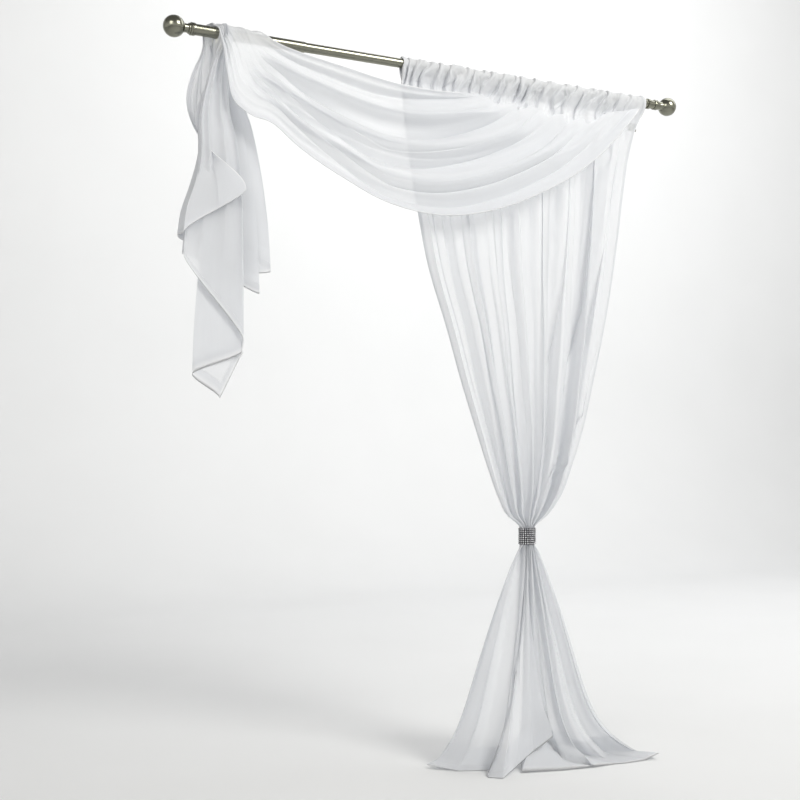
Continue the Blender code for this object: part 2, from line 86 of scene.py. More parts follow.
@dataclass(frozen=True)
class Table:
    """Short table of named columns, read between its rows."""

    names: str
    rows: tuple[tuple[float, ...], ...]

    @property
    def columns(self) -> list[str]:
        """Names of the columns."""
        return self.names.split()

    @property
    def last(self) -> int:
        """Number of the last row."""
        return len(self.rows) - 1

    def named(self) -> list[Any]:
        """Rows that hold their values under the columns' names."""
        row = namedtuple("Row", self.names)
        return [row(*values) for values in self.rows]

    def column(self, name: str) -> np.ndarray:
        """All values of one column."""
        return np.array(self.rows)[:, self.columns.index(name)]

    def between_turns(self, name: str, across: np.ndarray) -> np.ndarray:
        """Values of a fold table's column at shares of the width, eased from turn to turn."""
        turns, values = self.column("across"), self.column(name)
        index = np.clip(np.searchsorted(turns, across - TINY) - 1, 0, self.last - 1)
        share = (across - turns[index]) / (turns[index + 1] - turns[index])
        return values[index] + (values[index + 1] - values[index]) * ease(share)

    def curved(self, name: str, position: np.ndarray) -> np.ndarray:
        """Values of a column at fractional row numbers, on a Catmull-Rom curve."""
        values = self.column(name)
        index = np.minimum(position.astype(int), self.last - 1)
        share = position - index
        before, start, end, after = (values[np.clip(index + k, 0, self.last)] for k in (-1, 0, 1, 2))
        return 0.5 * (
            2 * start
            + (end - before) * share
            + (2 * before - 5 * start + 4 * end - after) * share**2
            + (3 * start - before - 3 * end + after) * share**3
        )

    def at(self, key: str, name: str, place: np.ndarray) -> np.ndarray:
        """Values of a column at places given in the key column, straight between rows."""
        return np.interp(place, self.column(key), self.column(name))


# Cross section of the heading round the rod, from the turned-back flap over the rod to the stitching in
# front: offsets from the rod's axis towards the room and up, and how far the right edge is drawn in.
POCKET = Table("out up drawn_in", (
    (-0.0010, -0.056, 0.020),
    (-0.0120, -0.038, 0.010),
    (-0.0195, -0.014, 0.003),
    (-0.0190, 0.007, 0.000),
    (-0.0100, 0.0182, 0.000),
    (0.0030, 0.0206, 0.000),
    (0.0160, 0.0146, 0.000),
    (0.0238, -0.001, 0.000),
    (0.0228, -0.021, 0.002),
    (0.0150, -0.042, 0.007),
    (0.0080, -0.058, 0.014),
))

# Outline of the panel below the heading: height, left and right edges, distance from the wall, the depth of
# the main folds and how far the right quarter is set back.
PANEL_ROWS = Table("z left right out fold setback", (
    (-0.050, 0.562, 1.459, 0.098, 0.004, 0.000),
    (-0.090, 0.564, 1.462, 0.096, 0.008, 0.004),
    (-0.160, 0.574, 1.452, 0.093, 0.012, 0.014),
    (-0.270, 0.592, 1.440, 0.090, 0.014, 0.022),
    (-0.420, 0.620, 1.423, 0.089, 0.016, 0.028),
    (-0.600, 0.658, 1.395, 0.088, 0.018, 0.032),
    (-0.780, 0.718, 1.358, 0.088, 0.020, 0.034),
    (-0.960, 0.774, 1.312, 0.088, 0.023, 0.034),
    (-1.110, 0.826, 1.268, 0.088, 0.026, 0.030),
    (-1.230, 0.868, 1.216, 0.088, 0.028, 0.022),
    (-1.320, 0.904, 1.163, 0.088, 0.028, 0.012),
    (-1.380, 0.938, 1.104, 0.089, 0.025, 0.004),
))

# A row for each turn of the panel's folds between heading and tie band: its share of the width, which way
# and how far it stands, and how far it leans sideways over the next. The front layer ends at 0.79, and the
# cloth behind its edge is set back.
PANEL_FOLDS = Table("across depth side", (
    (0.000, 0.30, 0.000),
    (0.060, 0.90, 0.000),
    (0.120, -0.70, 0.004),
    (0.185, 1.00, 0.010),
    (0.250, -0.90, -0.006),
    (0.310, 0.70, 0.004),
    (0.375, -0.80, 0.000),
    (0.440, 1.00, 0.006),
    (0.500, -0.60, -0.004),
    (0.560, 0.85, 0.004),
    (0.625, -1.00, 0.000),
    (0.690, 0.75, 0.004),
    (0.740, -0.55, 0.000),
    (0.792, 1.00, 0.014),
    (0.846, -1.00, -0.030),
    (0.925, 0.60, 0.000),
    (1.000, -0.50, 0.000),
))

# A row for each turn of the skirt's folds under the tie band: its share of the width, where it comes down
# and how high above the floor it still is there, how far the hem runs on from that place, how far the hem
# ends above the floor, how much of the flare comes only at the bottom, and how late the rest of it comes.
SKIRT_FOLDS = Table("across foot_x foot_y foot_z run_x run_y lift kick late", (
    (0.000, 0.800, -0.045, 0.010, -0.010, 0.005, 0.000, 0.16, 0.80),
    (0.050, 0.706, -0.055, 0.026, -0.034, 0.006, 0.012, 0.16, 0.80),
    (0.105, 0.764, -0.098, 0.010, -0.020, -0.022, 0.000, 0.16, 0.85),
    (0.150, 0.868, -0.150, 0.012, 0.000, -0.020, 0.000, 0.14, 1.30),
    (0.190, 0.802, -0.200, 0.006, -0.014, -0.024, 0.000, 0.10, 2.20),
    (0.225, 0.840, -0.228, 0.012, -0.018, -0.028, 0.002, 0.12, 1.70),
    (0.285, 0.915, -0.186, 0.050, -0.004, -0.010, 0.014, 0.15, 1.30),
    (0.335, 0.978, -0.176, 0.084, 0.000, -0.008, 0.048, 0.16, 1.10),
    (0.378, 1.034, -0.190, 0.126, 0.004, -0.010, 0.090, 0.18, 1.00),
    (0.440, 0.976, -0.100, 0.050, -0.030, -0.060, 0.004, 0.20, 0.90),
    (0.520, 1.004, -0.140, 0.074, -0.100, -0.088, 0.004, 0.22, 0.90),
    (0.600, 1.080, -0.156, 0.050, -0.040, -0.104, 0.002, 0.24, 0.95),
    (0.680, 1.126, -0.196, 0.044, 0.016, -0.080, 0.006, 0.26, 0.95),
    (0.755, 1.150, -0.140, 0.014, 0.070, -0.130, 0.000, 0.30, 1.00),
    (0.825, 1.222, -0.218, 0.006, 0.036, -0.060, 0.000, 0.33, 0.95),
    (0.875, 1.258, -0.180, 0.010, 0.084, -0.098, 0.002, 0.35, 0.85),
    (0.935, 1.330, -0.236, 0.022, 0.060, -0.046, 0.018, 0.36, 0.80),
    (1.000, 1.320, -0.165, 0.008, 0.064, -0.070, 0.002, 0.36, 0.80),
))

# Where the skirt's cross sections are: shares of the way from the band to the floor, then along the floor
SKIRT_STEPS = (0.025, 0.06, 0.10, 0.16, 0.23, 0.32, 0.42, 0.52, 0.62, 0.71, 0.79, 0.86, 0.92, 0.965, 1.0)
RUN_STEPS = (0.25, 0.5, 0.75, 1.0)

# Valleys between the heading's gathers, from left to right: share of the width, how deep each is drawn in
# and how far it slants on its way down the front.
GATHERS = Table("across deep slant", (
    (0.000, 0.30, 0.000),
    (0.030, 0.55, -0.010),
    (0.072, 1.00, -0.016),
    (0.118, 0.45, -0.012),
    (0.158, 0.95, -0.020),
    (0.212, 1.10, -0.024),
    (0.258, 0.50, -0.018),
    (0.312, 1.15, -0.026),
    (0.362, 0.60, -0.018),
    (0.408, 1.00, -0.022),
    (0.448, 0.45, -0.014),
    (0.482, 1.10, -0.026),
    (0.550, 1.15, -0.024),
    (0.604, 0.60, -0.016),
    (0.655, 1.00, -0.022),
    (0.712, 1.10, -0.024),
    (0.768, 0.85, -0.018),
    (0.802, 0.50, -0.014),
    (0.842, 1.00, -0.020),
    (0.905, 0.90, -0.016),
    (0.950, 0.45, -0.010),
    (1.000, 0.30, 0.000),
))

# How high the gathers stand, and how much of the spare width the ripples take up, by metres of cloth from
# the flap's end.
PANEL_SWELL = Table("along gather ripple slant", (
    (0.000, 0.0030, 0.00, 0.00),
    (0.060, 0.0034, 0.00, 0.00),
    (0.085, 0.0038, 0.00, 0.00),
    (0.105, 0.0046, 0.00, 0.05),
    (0.118, 0.0062, 0.00, 0.20),
    (0.140, 0.0090, 0.00, 0.75),
    (0.162, 0.0104, 0.00, 1.05),
    (0.190, 0.0082, 0.03, 1.10),
    (0.230, 0.0092, 0.15, 1.15),
    (0.320, 0.0058, 0.45, 1.30),
    (0.480, 0.0018, 0.66, 1.40),
    (0.700, 0.0000, 0.72, 1.40),
    (1.450, 0.0000, 0.72, 1.40),
    (1.570, 0.0000, 0.26, 1.40),
    (1.700, 0.0000, 0.22, 1.40),
    (1.950, 0.0000, 0.42, 1.40),
    (2.250, 0.0000, 0.40, 1.40),
    (2.500, 0.0000, 0.30, 1.40),
))

# Creases that stand proud of the main folds. high, middle and low are shares of the width where the crease
# starts, halfway along and where it ends, start and end are its ends in metres of cloth (or in rows of the
# scarf's table), out is its height, lean how far its crest rolls to the side and width its half width.
CREASE = "high middle low start end out lean width"
PANEL_CREASES = Table(CREASE, (
    (0.040, 0.046, 0.060, 0.30, 1.30, 0.007, 0.004, 0.012),
    (0.138, 0.150, 0.162, 0.24, 1.50, 0.012, -0.008, 0.012),
    (0.230, 0.236, 0.232, 0.34, 1.20, 0.006, 0.004, 0.014),
    (0.312, 0.322, 0.330, 0.26, 1.46, 0.008, 0.006, 0.012),
    (0.392, 0.412, 0.417, 0.24, 1.52, 0.012, -0.008, 0.011),
    (0.470, 0.478, 0.480, 0.30, 1.30, 0.006, 0.004, 0.013),
    (0.572, 0.546, 0.536, 0.22, 1.54, 0.013, 0.009, 0.011),
    (0.640, 0.606, 0.590, 0.34, 1.40, 0.006, -0.005, 0.012),
    (0.706, 0.668, 0.566, 0.22, 1.36, 0.011, 0.008, 0.012),
    (0.792, 0.768, 0.655, 0.20, 1.52, 0.014, 0.012, 0.010),
    (0.868, 0.840, 0.800, 0.30, 1.16, 0.007, -0.005, 0.014),
    (0.946, 0.902, 0.862, 0.24, 1.20, 0.012, 0.008, 0.012),
    (0.985, 0.930, 0.690, 0.90, 1.50, 0.010, 0.008, 0.012),
    (0.060, 0.062, 0.064, 1.74, 2.34, 0.007, -0.004, 0.016),
    (0.185, 0.185, 0.186, 1.74, 2.40, 0.010, -0.010, 0.011),
    (0.376, 0.376, 0.378, 1.72, 2.36, 0.010, 0.010, 0.010),
    (0.560, 0.562, 0.566, 1.78, 2.26, 0.006, 0.004, 0.014),
    (0.445, 0.560, 0.690, 2.22, 2.42, 0.030, 0.010, 0.022),
    (0.120, 0.122, 0.124, 1.74, 2.36, 0.009, 0.006, 0.013),
    (0.690, 0.700, 0.712, 1.76, 2.36, 0.007, 0.006, 0.014),
    (0.830, 0.832, 0.836, 1.74, 2.36, 0.008, 0.006, 0.014),
    (0.920, 0.925, 0.930, 1.78, 2.38, 0.007, 0.004, 0.014),
))

# Cross sections of the scarf from the heading along the swag, over the rod and down the tail. Each goes from
# the upper, long edge to the lower, short edge. x is along the rod, drop is how far the cloth hangs below
# the rod's top on the room side (negative behind the rod), and lean how far it stands off the rod there.
# ripple is the depth of the swag's folds, pleat the half width of the tail's pleats, and swing how far the
# tail's back layers stand out to the left.
SCARF_ROWS = Table("x drop lean low_x low_drop low_lean ripple pleat swing", (
    (0.830, 0.096, 0.010, 1.466, 0.060, 0.026, 0.003, 0.0, 0.0),
    (0.785, 0.102, 0.012, 1.424, 0.100, 0.030, 0.006, 0.0, 0.0),
    (0.720, 0.108, 0.013, 1.270, 0.252, 0.040, 0.010, 0.0, 0.0),
    (0.640, 0.111, 0.014, 1.104, 0.364, 0.050, 0.013, 0.0, 0.0),
    (0.548, 0.109, 0.015, 0.885, 0.464, 0.055, 0.015, 0.0, 0.0),
    (0.460, 0.099, 0.015, 0.679, 0.508, 0.056, 0.015, 0.0, 0.0),
    (0.373, 0.085, 0.015, 0.488, 0.489, 0.056, 0.015, 0.0, 0.0),
    (0.290, 0.072, 0.014, 0.328, 0.425, 0.056, 0.014, 0.0, 0.0),
    (0.214, 0.059, 0.012, 0.200, 0.357, 0.056, 0.012, 0.0, 0.0),
    (0.152, 0.042, 0.008, 0.112, 0.294, 0.058, 0.008, 0.0, 0.0),
    (0.112, 0.020, 0.003, 0.048, 0.278, 0.059, 0.003, 0.0, 0.0),
    (0.094, 0.004, 0.004, -0.006, 0.238, 0.058, 0.0015, 0.0, 0.0),
    (0.076, -0.020, 0.005, -0.022, 0.156, 0.048, 0.0015, 0.0, 0.0),
    (0.046, -0.032, 0.006, -0.026, 0.092, 0.032, 0.0015, 0.0, 0.0),
    (0.014, -0.018, 0.007, -0.030, 0.044, 0.018, 0.0015, 0.0, 0.0),
    (0.010, -0.017, 0.007, -0.036, 0.020, 0.010, 0.0015, 0.0, 0.0),
    (0.008, -0.050, 0.007, -0.046, 0.010, 0.016, 0.0015, 0.0, 0.0),
    (0.010, -0.070, 0.008, -0.056, 0.010, 0.016, 0.0010, 0.0, 0.0),
    (0.012, -0.046, 0.008, -0.062, 0.022, 0.014, 0.0010, 0.0, 0.0),
    (0.014, -0.010, 0.007, -0.064, 0.040, 0.014, 0.0005, 0.0, 0.0),
    (0.010, 0.032, 0.005, -0.062, 0.062, 0.018, 0.0, 0.0, 0.0),
    (0.000, 0.083, 0.003, -0.056, 0.092, 0.022, 0.0, 0.014, 0.0),
    (-0.008, 0.148, 0.003, -0.046, 0.133, 0.026, 0.0, 0.040, -0.014),
    (-0.014, 0.238, 0.003, -0.036, 0.193, 0.030, 0.0, 0.064, -0.036),
    (-0.016, 0.308, 0.002, -0.026, 0.237, 0.036, 0.0, 0.078, -0.042),
    (-0.008, 0.380, 0.000, -0.022, 0.282, 0.044, 0.0, 0.086, -0.012),
    (0.000, 0.540, -0.006, -0.010, 0.360, 0.050, 0.0, 0.093, 0.0),
    (-0.002, 0.720, -0.012, -0.012, 0.440, 0.054, 0.0, 0.106, 0.0),
    (-0.004, 0.910, -0.016, -0.020, 0.505, 0.056, 0.0, 0.118, 0.0),
    (-0.005, 1.084, -0.016, -0.022, 0.560, 0.058, 0.0, 0.123, 0.0),
))

# A row for each turn of the swag's folds, from the long edge to the short one: its share of the width and
# how far it stands out.
SWAG_FOLDS = Table("across depth", (
    (0.00, 0.50),
    (0.05, 0.00),
    (0.12, -0.70),
    (0.24, 1.00),
    (0.36, -0.80),
    (0.49, 0.90),
    (0.58, -0.60),
    (0.63, -1.00),
    (0.73, 1.00),
    (0.90, -0.60),
    (1.00, 0.30),
))

# A row for each turn of the tail's pleats, from the long edge to the short one: its share of the width, how
# far it reaches to the side at the top and at the hem, from what share of the way down it moves, how much
# further down the hem comes, how far in front it lies at the hem, how much it swings out to the left at the
# top and how far in front it lies there.
# The short edge's corner lies in front, and the pleats that end at the right lie behind.
TAIL_FOLDS = Table("across side hem_side start hem_drop out swing top_out", (
    (0.00, 0.30, 0.40, 0.0, -0.132, 0.004, 0.8, 0.004),
    (0.05, -0.15, -0.15, 0.0, 0.022, 0.006, 0.8, 0.006),
    (0.12, -0.64, -0.80, 0.0, -0.004, 0.010, 0.8, 0.010),
    (0.22, 0.28, 0.38, 0.0, -0.022, 0.014, 0.5, 0.014),
    (0.25, 0.30, 0.40, 0.0, -0.034, 0.024, 0.2, 0.024),
    (0.44, -0.86, -1.02, 0.0, -0.172, 0.026, 0.0, 0.026),
    (0.47, -0.80, -0.98, 0.0, -0.160, -0.004, 0.0, -0.004),
    (0.57, 0.66, 0.92, 0.0, -0.012, -0.008, 0.0, -0.008),
    (0.64, -0.25, -0.15, 0.0, -0.018, -0.014, 0.0, -0.014),
    (0.71, 1.10, 1.26, 0.0, -0.006, -0.022, 0.0, -0.022),
    (0.86, -0.60, -0.98, 0.2, -0.010, -0.026, 0.0, -0.030),
    (0.885, -0.62, -1.00, 0.2, 0.004, 0.046, 0.2, -0.040),
    (1.00, -0.92, 0.46, 0.5, -0.070, 0.052, 0.35, -0.044),
))

# Creases of the scarf, with start and end in rows of its table.
SCARF_CREASES = Table(CREASE, (
    (0.060, 0.110, 0.090, 0.6, 9.8, 0.008, 0.004, 0.016),
    (0.190, 0.205, 0.160, 0.4, 10.4, 0.011, 0.010, 0.014),
    (0.300, 0.425, 0.240, 0.4, 10.8, 0.014, 0.014, 0.013),
    (0.420, 0.540, 0.300, 0.3, 11.0, 0.009, 0.010, 0.014),
    (0.520, 0.640, 0.360, 0.3, 11.4, 0.011, 0.012, 0.013),
    (0.640, 0.745, 0.430, 0.3, 11.4, 0.010, 0.012, 0.014),
    (0.750, 0.825, 0.500, 0.3, 11.4, 0.014, 0.014, 0.012),
    (0.870, 0.915, 0.640, 0.3, 11.2, 0.009, 0.010, 0.014),
    (0.280, 0.276, 0.272, 18.0, 28.6, 0.011, 0.0, 0.012),
    (0.330, 0.330, 0.330, 18.0, 28.0, 0.010, 0.0, 0.012),
    (0.385, 0.384, 0.380, 18.0, 28.6, 0.011, 0.0, 0.012),
    (0.425, 0.424, 0.420, 18.0, 28.5, 0.010, 0.0, 0.011),
    (0.535, 0.535, 0.540, 18.0, 28.0, 0.010, 0.0, 0.012),
    (0.600, 0.600, 0.605, 18.0, 28.6, 0.011, 0.0, 0.013),
    (0.680, 0.682, 0.690, 18.0, 28.5, 0.011, 0.0, 0.013),
    (0.760, 0.760, 0.765, 18.0, 28.6, 0.011, 0.0, 0.013),
    (0.930, 0.935, 0.940, 18.0, 28.0, 0.008, 0.0, 0.014),
))

# How much of the scarf's spare width its ripples take up, by row of its table.
SCARF_SWELL = Table("row ripple", (
    (0.0, 0.10),
    (2.0, 0.12),
    (6.0, 0.12),
    (9.0, 0.10),
    (11.0, 0.12),
    (12.5, 0.28),
    (16.0, 0.60),
    (20.0, 0.60),
    (22.0, 0.44),
    (24.0, 0.36),
    (29.0, 0.32),
))

# Where the scarf leaves the heading's stitching, from the long edge to the short one: share of the width and
# row of the scarf's table. Its small flaps end between the gathers.
SCARF_STARTS = Table("across row", (
    (0.000, 0.40),
    (0.022, 0.50),
    (0.120, 1.15),
    (0.235, 1.45),
    (0.290, 1.15),
    (0.365, 1.50),
    (0.400, 1.15),
    (0.450, 1.20),
    (0.530, 1.42),
    (0.600, 1.25),
    (0.660, 1.42),
    (0.735, 1.25),
    (0.790, 1.35),
    (0.850, 0.80),
    (0.920, 0.60),
    (1.000, 0.00),
))


def linear(hex_colour: str) -> tuple[float, float, float, float]:
    """Linear RGBA of an sRGB colour.

    Args:
        hex_colour: six hexadecimal digits.

    Returns:
        Red, green, blue and an alpha of 1.
    """
    shares = [int(hex_colour[k : k + 2], 16) / 255 for k in (0, 2, 4)]
    red, green, blue = (s / 12.92 if s <= 0.04045 else ((s + 0.055) / 1.055) ** 2.4 for s in shares)
    return red, green, blue, 1.0


def add_node(
    tree: bpy.types.NodeTree, kind: str, settings: dict[str, Any] | None = None, **links: Any
) -> bpy.types.Node:
    """Adds a node and joins it up.

    Args:
        tree: the node tree.
        kind: the node's type, such as ShaderNodeBump.
        settings: properties by name, and socket values by number or by a name with a capital.
        links: output sockets to join to the inputs of these names, with _ for a space.

    Returns:
        The new node.
    """
    node = tree.nodes.new(kind)
    for name, value in (settings or {}).items():
        if isinstance(name, int) or name[0].isupper():
            node.inputs[name].default_value = value
        else:
            setattr(node, name, value)
    for name, socket in links.items():
        key = int(name[5:]) if name.startswith("input") else name.replace("_", " ")
        tree.links.new(socket, node.inputs[key])
    return node


@dataclass(frozen=True)
class Unevenness:
    """Smooth seeded variation over the cloth, so that no two folds are alike."""

    seed: int
    cells_across: int
    cells_along: int
    size: float = 1.0

    def over(self, across: np.ndarray, along: np.ndarray) -> np.ndarray:
        """Values from minus its size to its size.

        Args:
            across: shares of the width, one for each column.
            along: shares of the length, one for each row.

        Returns:
            An array of rows by columns.
        """
        cells = (self.cells_along + 2, self.cells_across + 2)
        lattice = np.random.default_rng(self.seed).uniform(-1, 1, cells)
        column, row = across * self.cells_across, along * self.cells_along
        left, top = column.astype(int), row.astype(int)
        right_share, low_share = ease(column - left)[None, :], ease(row - top)[:, None]
        corner = [lattice[np.ix_(top + i, left + j)] for i in (0, 1) for j in (0, 1)]
        upper = corner[0] * (1 - right_share) + corner[1] * right_share
        lower = corner[2] * (1 - right_share) + corner[3] * right_share
        return self.size * (upper * (1 - low_share) + lower * low_share)


class Side(Enum):
    """The two ends of the rod."""

    LEFT = "left"
    RIGHT = "right"


class Finish:
    """One material, whose nodes are joined up as they are made."""

    def __init__(self, name: str, sockets: dict[str, float]) -> None:
        """Starts the material.

        Args:
            name: its name.
            sockets: constants on the Principled shader's own sockets.
        """
        self.material = bpy.data.materials.new(name)
        self.material.use_nodes = True
        self.tree = self.material.node_tree
        self.shader = self.tree.nodes["Principled BSDF"]
        for socket, value in sockets.items():
            self.shader.inputs[socket].default_value = value

    def place(self) -> bpy.types.NodeSocket:
        """Place on the object in metres."""
        return add_node(self.tree, "ShaderNodeTexCoord").outputs["Object"]

    def stretched(
        self, place: bpy.types.NodeSocket, scale: tuple[float, float, float]
    ) -> bpy.types.NodeSocket:
        """Places multiplied axis by axis."""
        return add_node(self.tree, "ShaderNodeMapping", {"Scale": scale}, Vector=place).outputs[0]

    def noise(
        self, place: bpy.types.NodeSocket, scale: float, detail: float, roughness: float = 0.5
    ) -> bpy.types.NodeSocket:
        """Soft uneven pattern from 0 to 1."""
        settings = {"Scale": scale, "Detail": detail, "Roughness": roughness}
        return add_node(self.tree, "ShaderNodeTexNoise", settings, Vector=place).outputs["Fac"]

    def bands(
        self, place: bpy.types.NodeSocket, direction: str, pitch_mm: float, distortion: float
    ) -> bpy.types.NodeSocket:
        """Parallel bands from 0 to 1.

        Args:
            place: where the pattern is read, in metres.
            direction: X, Y, Z or DIAGONAL.
            pitch_mm: their pitch, as the wave texture counts it.
            distortion: how much they waver.

        Returns:
            The pattern.
        """
        scale = 1000 / pitch_mm / FULL_TURN
        settings = {"bands_direction": direction, "Scale": scale, "Distortion": distortion}
        return add_node(self.tree, "ShaderNodeTexWave", settings, Vector=place).outputs["Fac"]

    def maths(self, operation: str, settings: dict[int, float], **sockets: Any) -> bpy.types.NodeSocket:
        """Result of one operation on numbers."""
        settings = {"operation": operation, **settings}
        return add_node(self.tree, "ShaderNodeMath", settings, **sockets).outputs[0]

    def two_tone(self, low: str, high: str, share: bpy.types.NodeSocket) -> bpy.types.NodeSocket:
        """Mix of two hex colours by a share."""
        settings = {"data_type": "RGBA", 6: linear(low), 7: linear(high)}
        return add_node(self.tree, "ShaderNodeMix", settings, input0=share).outputs[2]

    def joined(self, socket: bpy.types.NodeSocket, name: str) -> None:
        """Joins an output to one of the shader's inputs."""
        self.tree.links.new(socket, self.shader.inputs[name])

    def relief(self, height: bpy.types.NodeSocket, strength: float, depth: float) -> None:
        """Gives the surface small bumps, at most as deep as given in metres."""
        settings = {"Strength": strength, "Distance": depth}
        bumps = add_node(self.tree, "ShaderNodeBump", settings, Height=height)
        self.joined(bumps.outputs["Normal"], "Normal")

    def roughened(self, share: bpy.types.NodeSocket, least: float, most: float) -> None:
        """Lets the roughness change over the surface."""
        ranged = add_node(self.tree, "ShaderNodeMapRange", {3: least, 4: most}, Value=share)
        self.joined(ranged.outputs[0], "Roughness")


@dataclass(frozen=True)
class Voile:
    """Polyester voile: fine plain-woven yarn with gaps, so it is sheer, white and matt with a soft sheen.

    Its threads are drawn about three times as coarse as real ones, so that they show at all.
    """

    yarn: str = "EEF0F3"
    yarn_shade: str = "E5E7EB"
    doubled: str = "FDFDFE"
    thread_mm: float = 0.9
    slub_mm: float = 14.0
    slub_stretch: float = 14.0
    let_through: float = 0.28

    def material(self) -> bpy.types.Material:
        """Makes the cloth's material, which follows the UV map in metres of flat cloth."""
        finish = Finish(
            "polyester_voile_woven",
            {"Roughness": 0.82, "Sheen Weight": 0.25, "Sheen Roughness": 0.45, "Specular IOR Level": 0.25},
        )
        tree = finish.tree
        cover, hemmed = (
            add_node(tree, "ShaderNodeAttribute", {"attribute_name": name}).outputs["Fac"]
            for name in ("cover", "hemmed")
        )
        flat = add_node(tree, "ShaderNodeUVMap", {"uv_map": "flat_cloth"}).outputs["UV"]
        warp, weft = (
            finish.bands(flat, direction, self.thread_mm, distortion=0.6) for direction in ("X", "Y")
        )
        threads = finish.maths("MAXIMUM", {}, input0=warp, input1=weft)
        slub_scale = 1000 / self.slub_mm
        drawn_out = finish.stretched(flat, (slub_scale, slub_scale / self.slub_stretch, 1.0))
        slubs = finish.noise(drawn_out, scale=1.0, detail=4.0, roughness=0.6)
        tone = finish.maths("MULTIPLY", {}, input0=threads, input1=slubs)
        single = finish.two_tone(self.yarn_shade, self.yarn, tone)
        tint = add_node(
            tree,
            "ShaderNodeMix",
            {"data_type": "RGBA", 7: linear(self.doubled)},
            input0=hemmed,
            input6=single,
        ).outputs[2]
        finish.joined(tint, "Base Color")
        finish.relief(tone, strength=0.12, depth=0.0004)
        glow = add_node(tree, "ShaderNodeBsdfTranslucent", Color=tint).outputs[0]
        yarns = add_node(
            tree, "ShaderNodeMixShader", {0: self.let_through}, input1=finish.shader.outputs[0], input2=glow
        ).outputs[0]
        gaps = add_node(tree, "ShaderNodeBsdfTransparent").outputs[0]
        sheer = add_node(tree, "ShaderNodeMixShader", input0=cover, input1=gaps, input2=yarns).outputs[0]
        tree.links.new(sheer, tree.nodes["Material Output"].inputs["Surface"])
        return finish.material


@dataclass(frozen=True)
class PolyesterThread:
    """Spun polyester sewing thread: white, matt and slightly hairy, with the twist of its plies.

    The twist is drawn coarser than real, so that it shows.
    """

    ply: str = "FAFAFC"
    ply_shade: str = "DDDFE4"
    twist_mm: float = 0.6

    def material(self) -> bpy.types.Material:
        """Makes the thread's material, banded by its twist."""
        finish = Finish("polyester_thread_spun", {"Roughness": 0.65, "Sheen Weight": 0.3})
        plies = finish.bands(finish.place(), "DIAGONAL", self.twist_mm, distortion=0.5)
        finish.joined(finish.two_tone(self.ply_shade, self.ply, plies), "Base Color")
        return finish.material


@dataclass(frozen=True)
class SatinNickel:
    """Nickel-plated steel, brushed to a satin: warm grey, with fine lines drawn out along or round the piece.

    The lines are drawn coarser than real ones, so that they show.
    """

    plate: str = "A8A899"
    plate_shade: str = "64645A"
    roughness: float = 0.22
    line_mm: float = 0.8
    clouds: float = 22.0

    def material(self, name: str, drawn: tuple[float, float, float]) -> bpy.types.Material:
        """Makes the finish.

        Args:
            name: the material's name.
            drawn: how dense the brush lines are along X, Y and Z, as shares.

        Returns:
            The material.
        """
        finish = Finish(name, {"Metallic": 1.0})
        place = finish.place()
        scale = tuple(1000 / self.line_mm * share for share in drawn)
        lines = finish.noise(finish.stretched(place, scale), scale=1.0, detail=3.0, roughness=0.65)
        softened = finish.maths("MULTIPLY_ADD", {1: 0.5, 2: 0.25}, input0=lines)
        finish.joined(finish.two_tone(self.plate_shade, self.plate, softened), "Base Color")
        cloudy = finish.noise(place, self.clouds, detail=2.0)
        finish.roughened(cloudy, least=self.roughness * 0.75, most=self.roughness * 1.35)
        finish.relief(lines, strength=0.18, depth=0.0002)
        return finish.material


@dataclass(frozen=True)
class FoiledGlass:
    """Rhinestone: cut glass with a silver foil behind, so each facet mirrors and flashes on its own."""

    glass: str = "F6F7FA"
    glass_shade: str = "A4A6AC"
    cells: float = 160.0

    def material(self) -> bpy.types.Material:
        """Makes the stones' material, whose tone changes a little from stone to stone."""
        finish = Finish(
            "rhinestone_foiled_glass",
            {"Metallic": 0.40, "Roughness": 0.16, "Coat Weight": 1.0, "Coat Roughness": 0.03},
        )
        tree = finish.tree
        fleck = add_node(tree, "ShaderNodeTexVoronoi", {"Scale": self.cells}, Vector=finish.place())
        tone = add_node(tree, "ShaderNodeSeparateColor", Color=fleck.outputs["Color"]).outputs[0]
        finish.joined(finish.two_tone(self.glass_shade, self.glass, tone), "Base Color")
        return finish.material


@dataclass(frozen=True)
class SilverCup:
    """Stamped and silver-plated brass cups that hold the stones: bright, slightly worn metal."""

    plate: str = "D2D2D4"
    worn: str = "8E8D91"
    specks: float = 420.0

    def material(self) -> bpy.types.Material:
        """Makes the cups' material."""
        finish = Finish("silver_plated_cup_stamped", {"Metallic": 1.0})
        wear = finish.noise(finish.place(), self.specks, detail=3.0)
        finish.joined(finish.two_tone(self.worn, self.plate, wear), "Base Color")
        finish.roughened(wear, least=0.20, most=0.42)
        return finish.material


@dataclass(frozen=True)
class ElasticWeb:
    """Woven elastic tape: grey rubber-cored yarn with a ribbed, matt face. Its ribs are coarser than real."""

    # Dark so that the gaps between the cups read dark: partly the tape's own grey, partly painted shade
    yarn: str = "3C3C40"
    # Painted shade: the grooves between the ribs get this darker colour
    groove: str = "262629"
    rib_mm: float = 1.2

    def material(self) -> bpy.types.Material:
        """Makes the tape's material, ribbed along its length, with painted shade in the ribs' grooves."""
        finish = Finish("elastic_tape_woven", {"Roughness": 0.85})
        ribs = finish.bands(finish.place(), "Z", self.rib_mm, distortion=0.4)
        # Where the ribs' relief is low the grooves get the darker colour, which is painted shade
        finish.joined(finish.two_tone(self.groove, self.yarn, ribs), "Base Color")
        finish.relief(ribs, strength=0.4, depth=0.0003)
        return finish.material


@dataclass(frozen=True)
class MattPaper:
    """Seamless white studio paper: matt, with the faintest mottling."""

    face: str = "E6E7E8"
    mottle: str = "E2E3E4"
    patches: float = 1.5

    def material(self) -> bpy.types.Material:
        """Makes the floor's and backdrop's material."""
        finish = Finish("seamless_paper_matt", {"Roughness": 0.95, "Specular IOR Level": 0.1})
        mottling = finish.noise(finish.place(), self.patches, detail=2.0)
        finish.joined(finish.two_tone(self.mottle, self.face, mottling), "Base Color")
        return finish.material


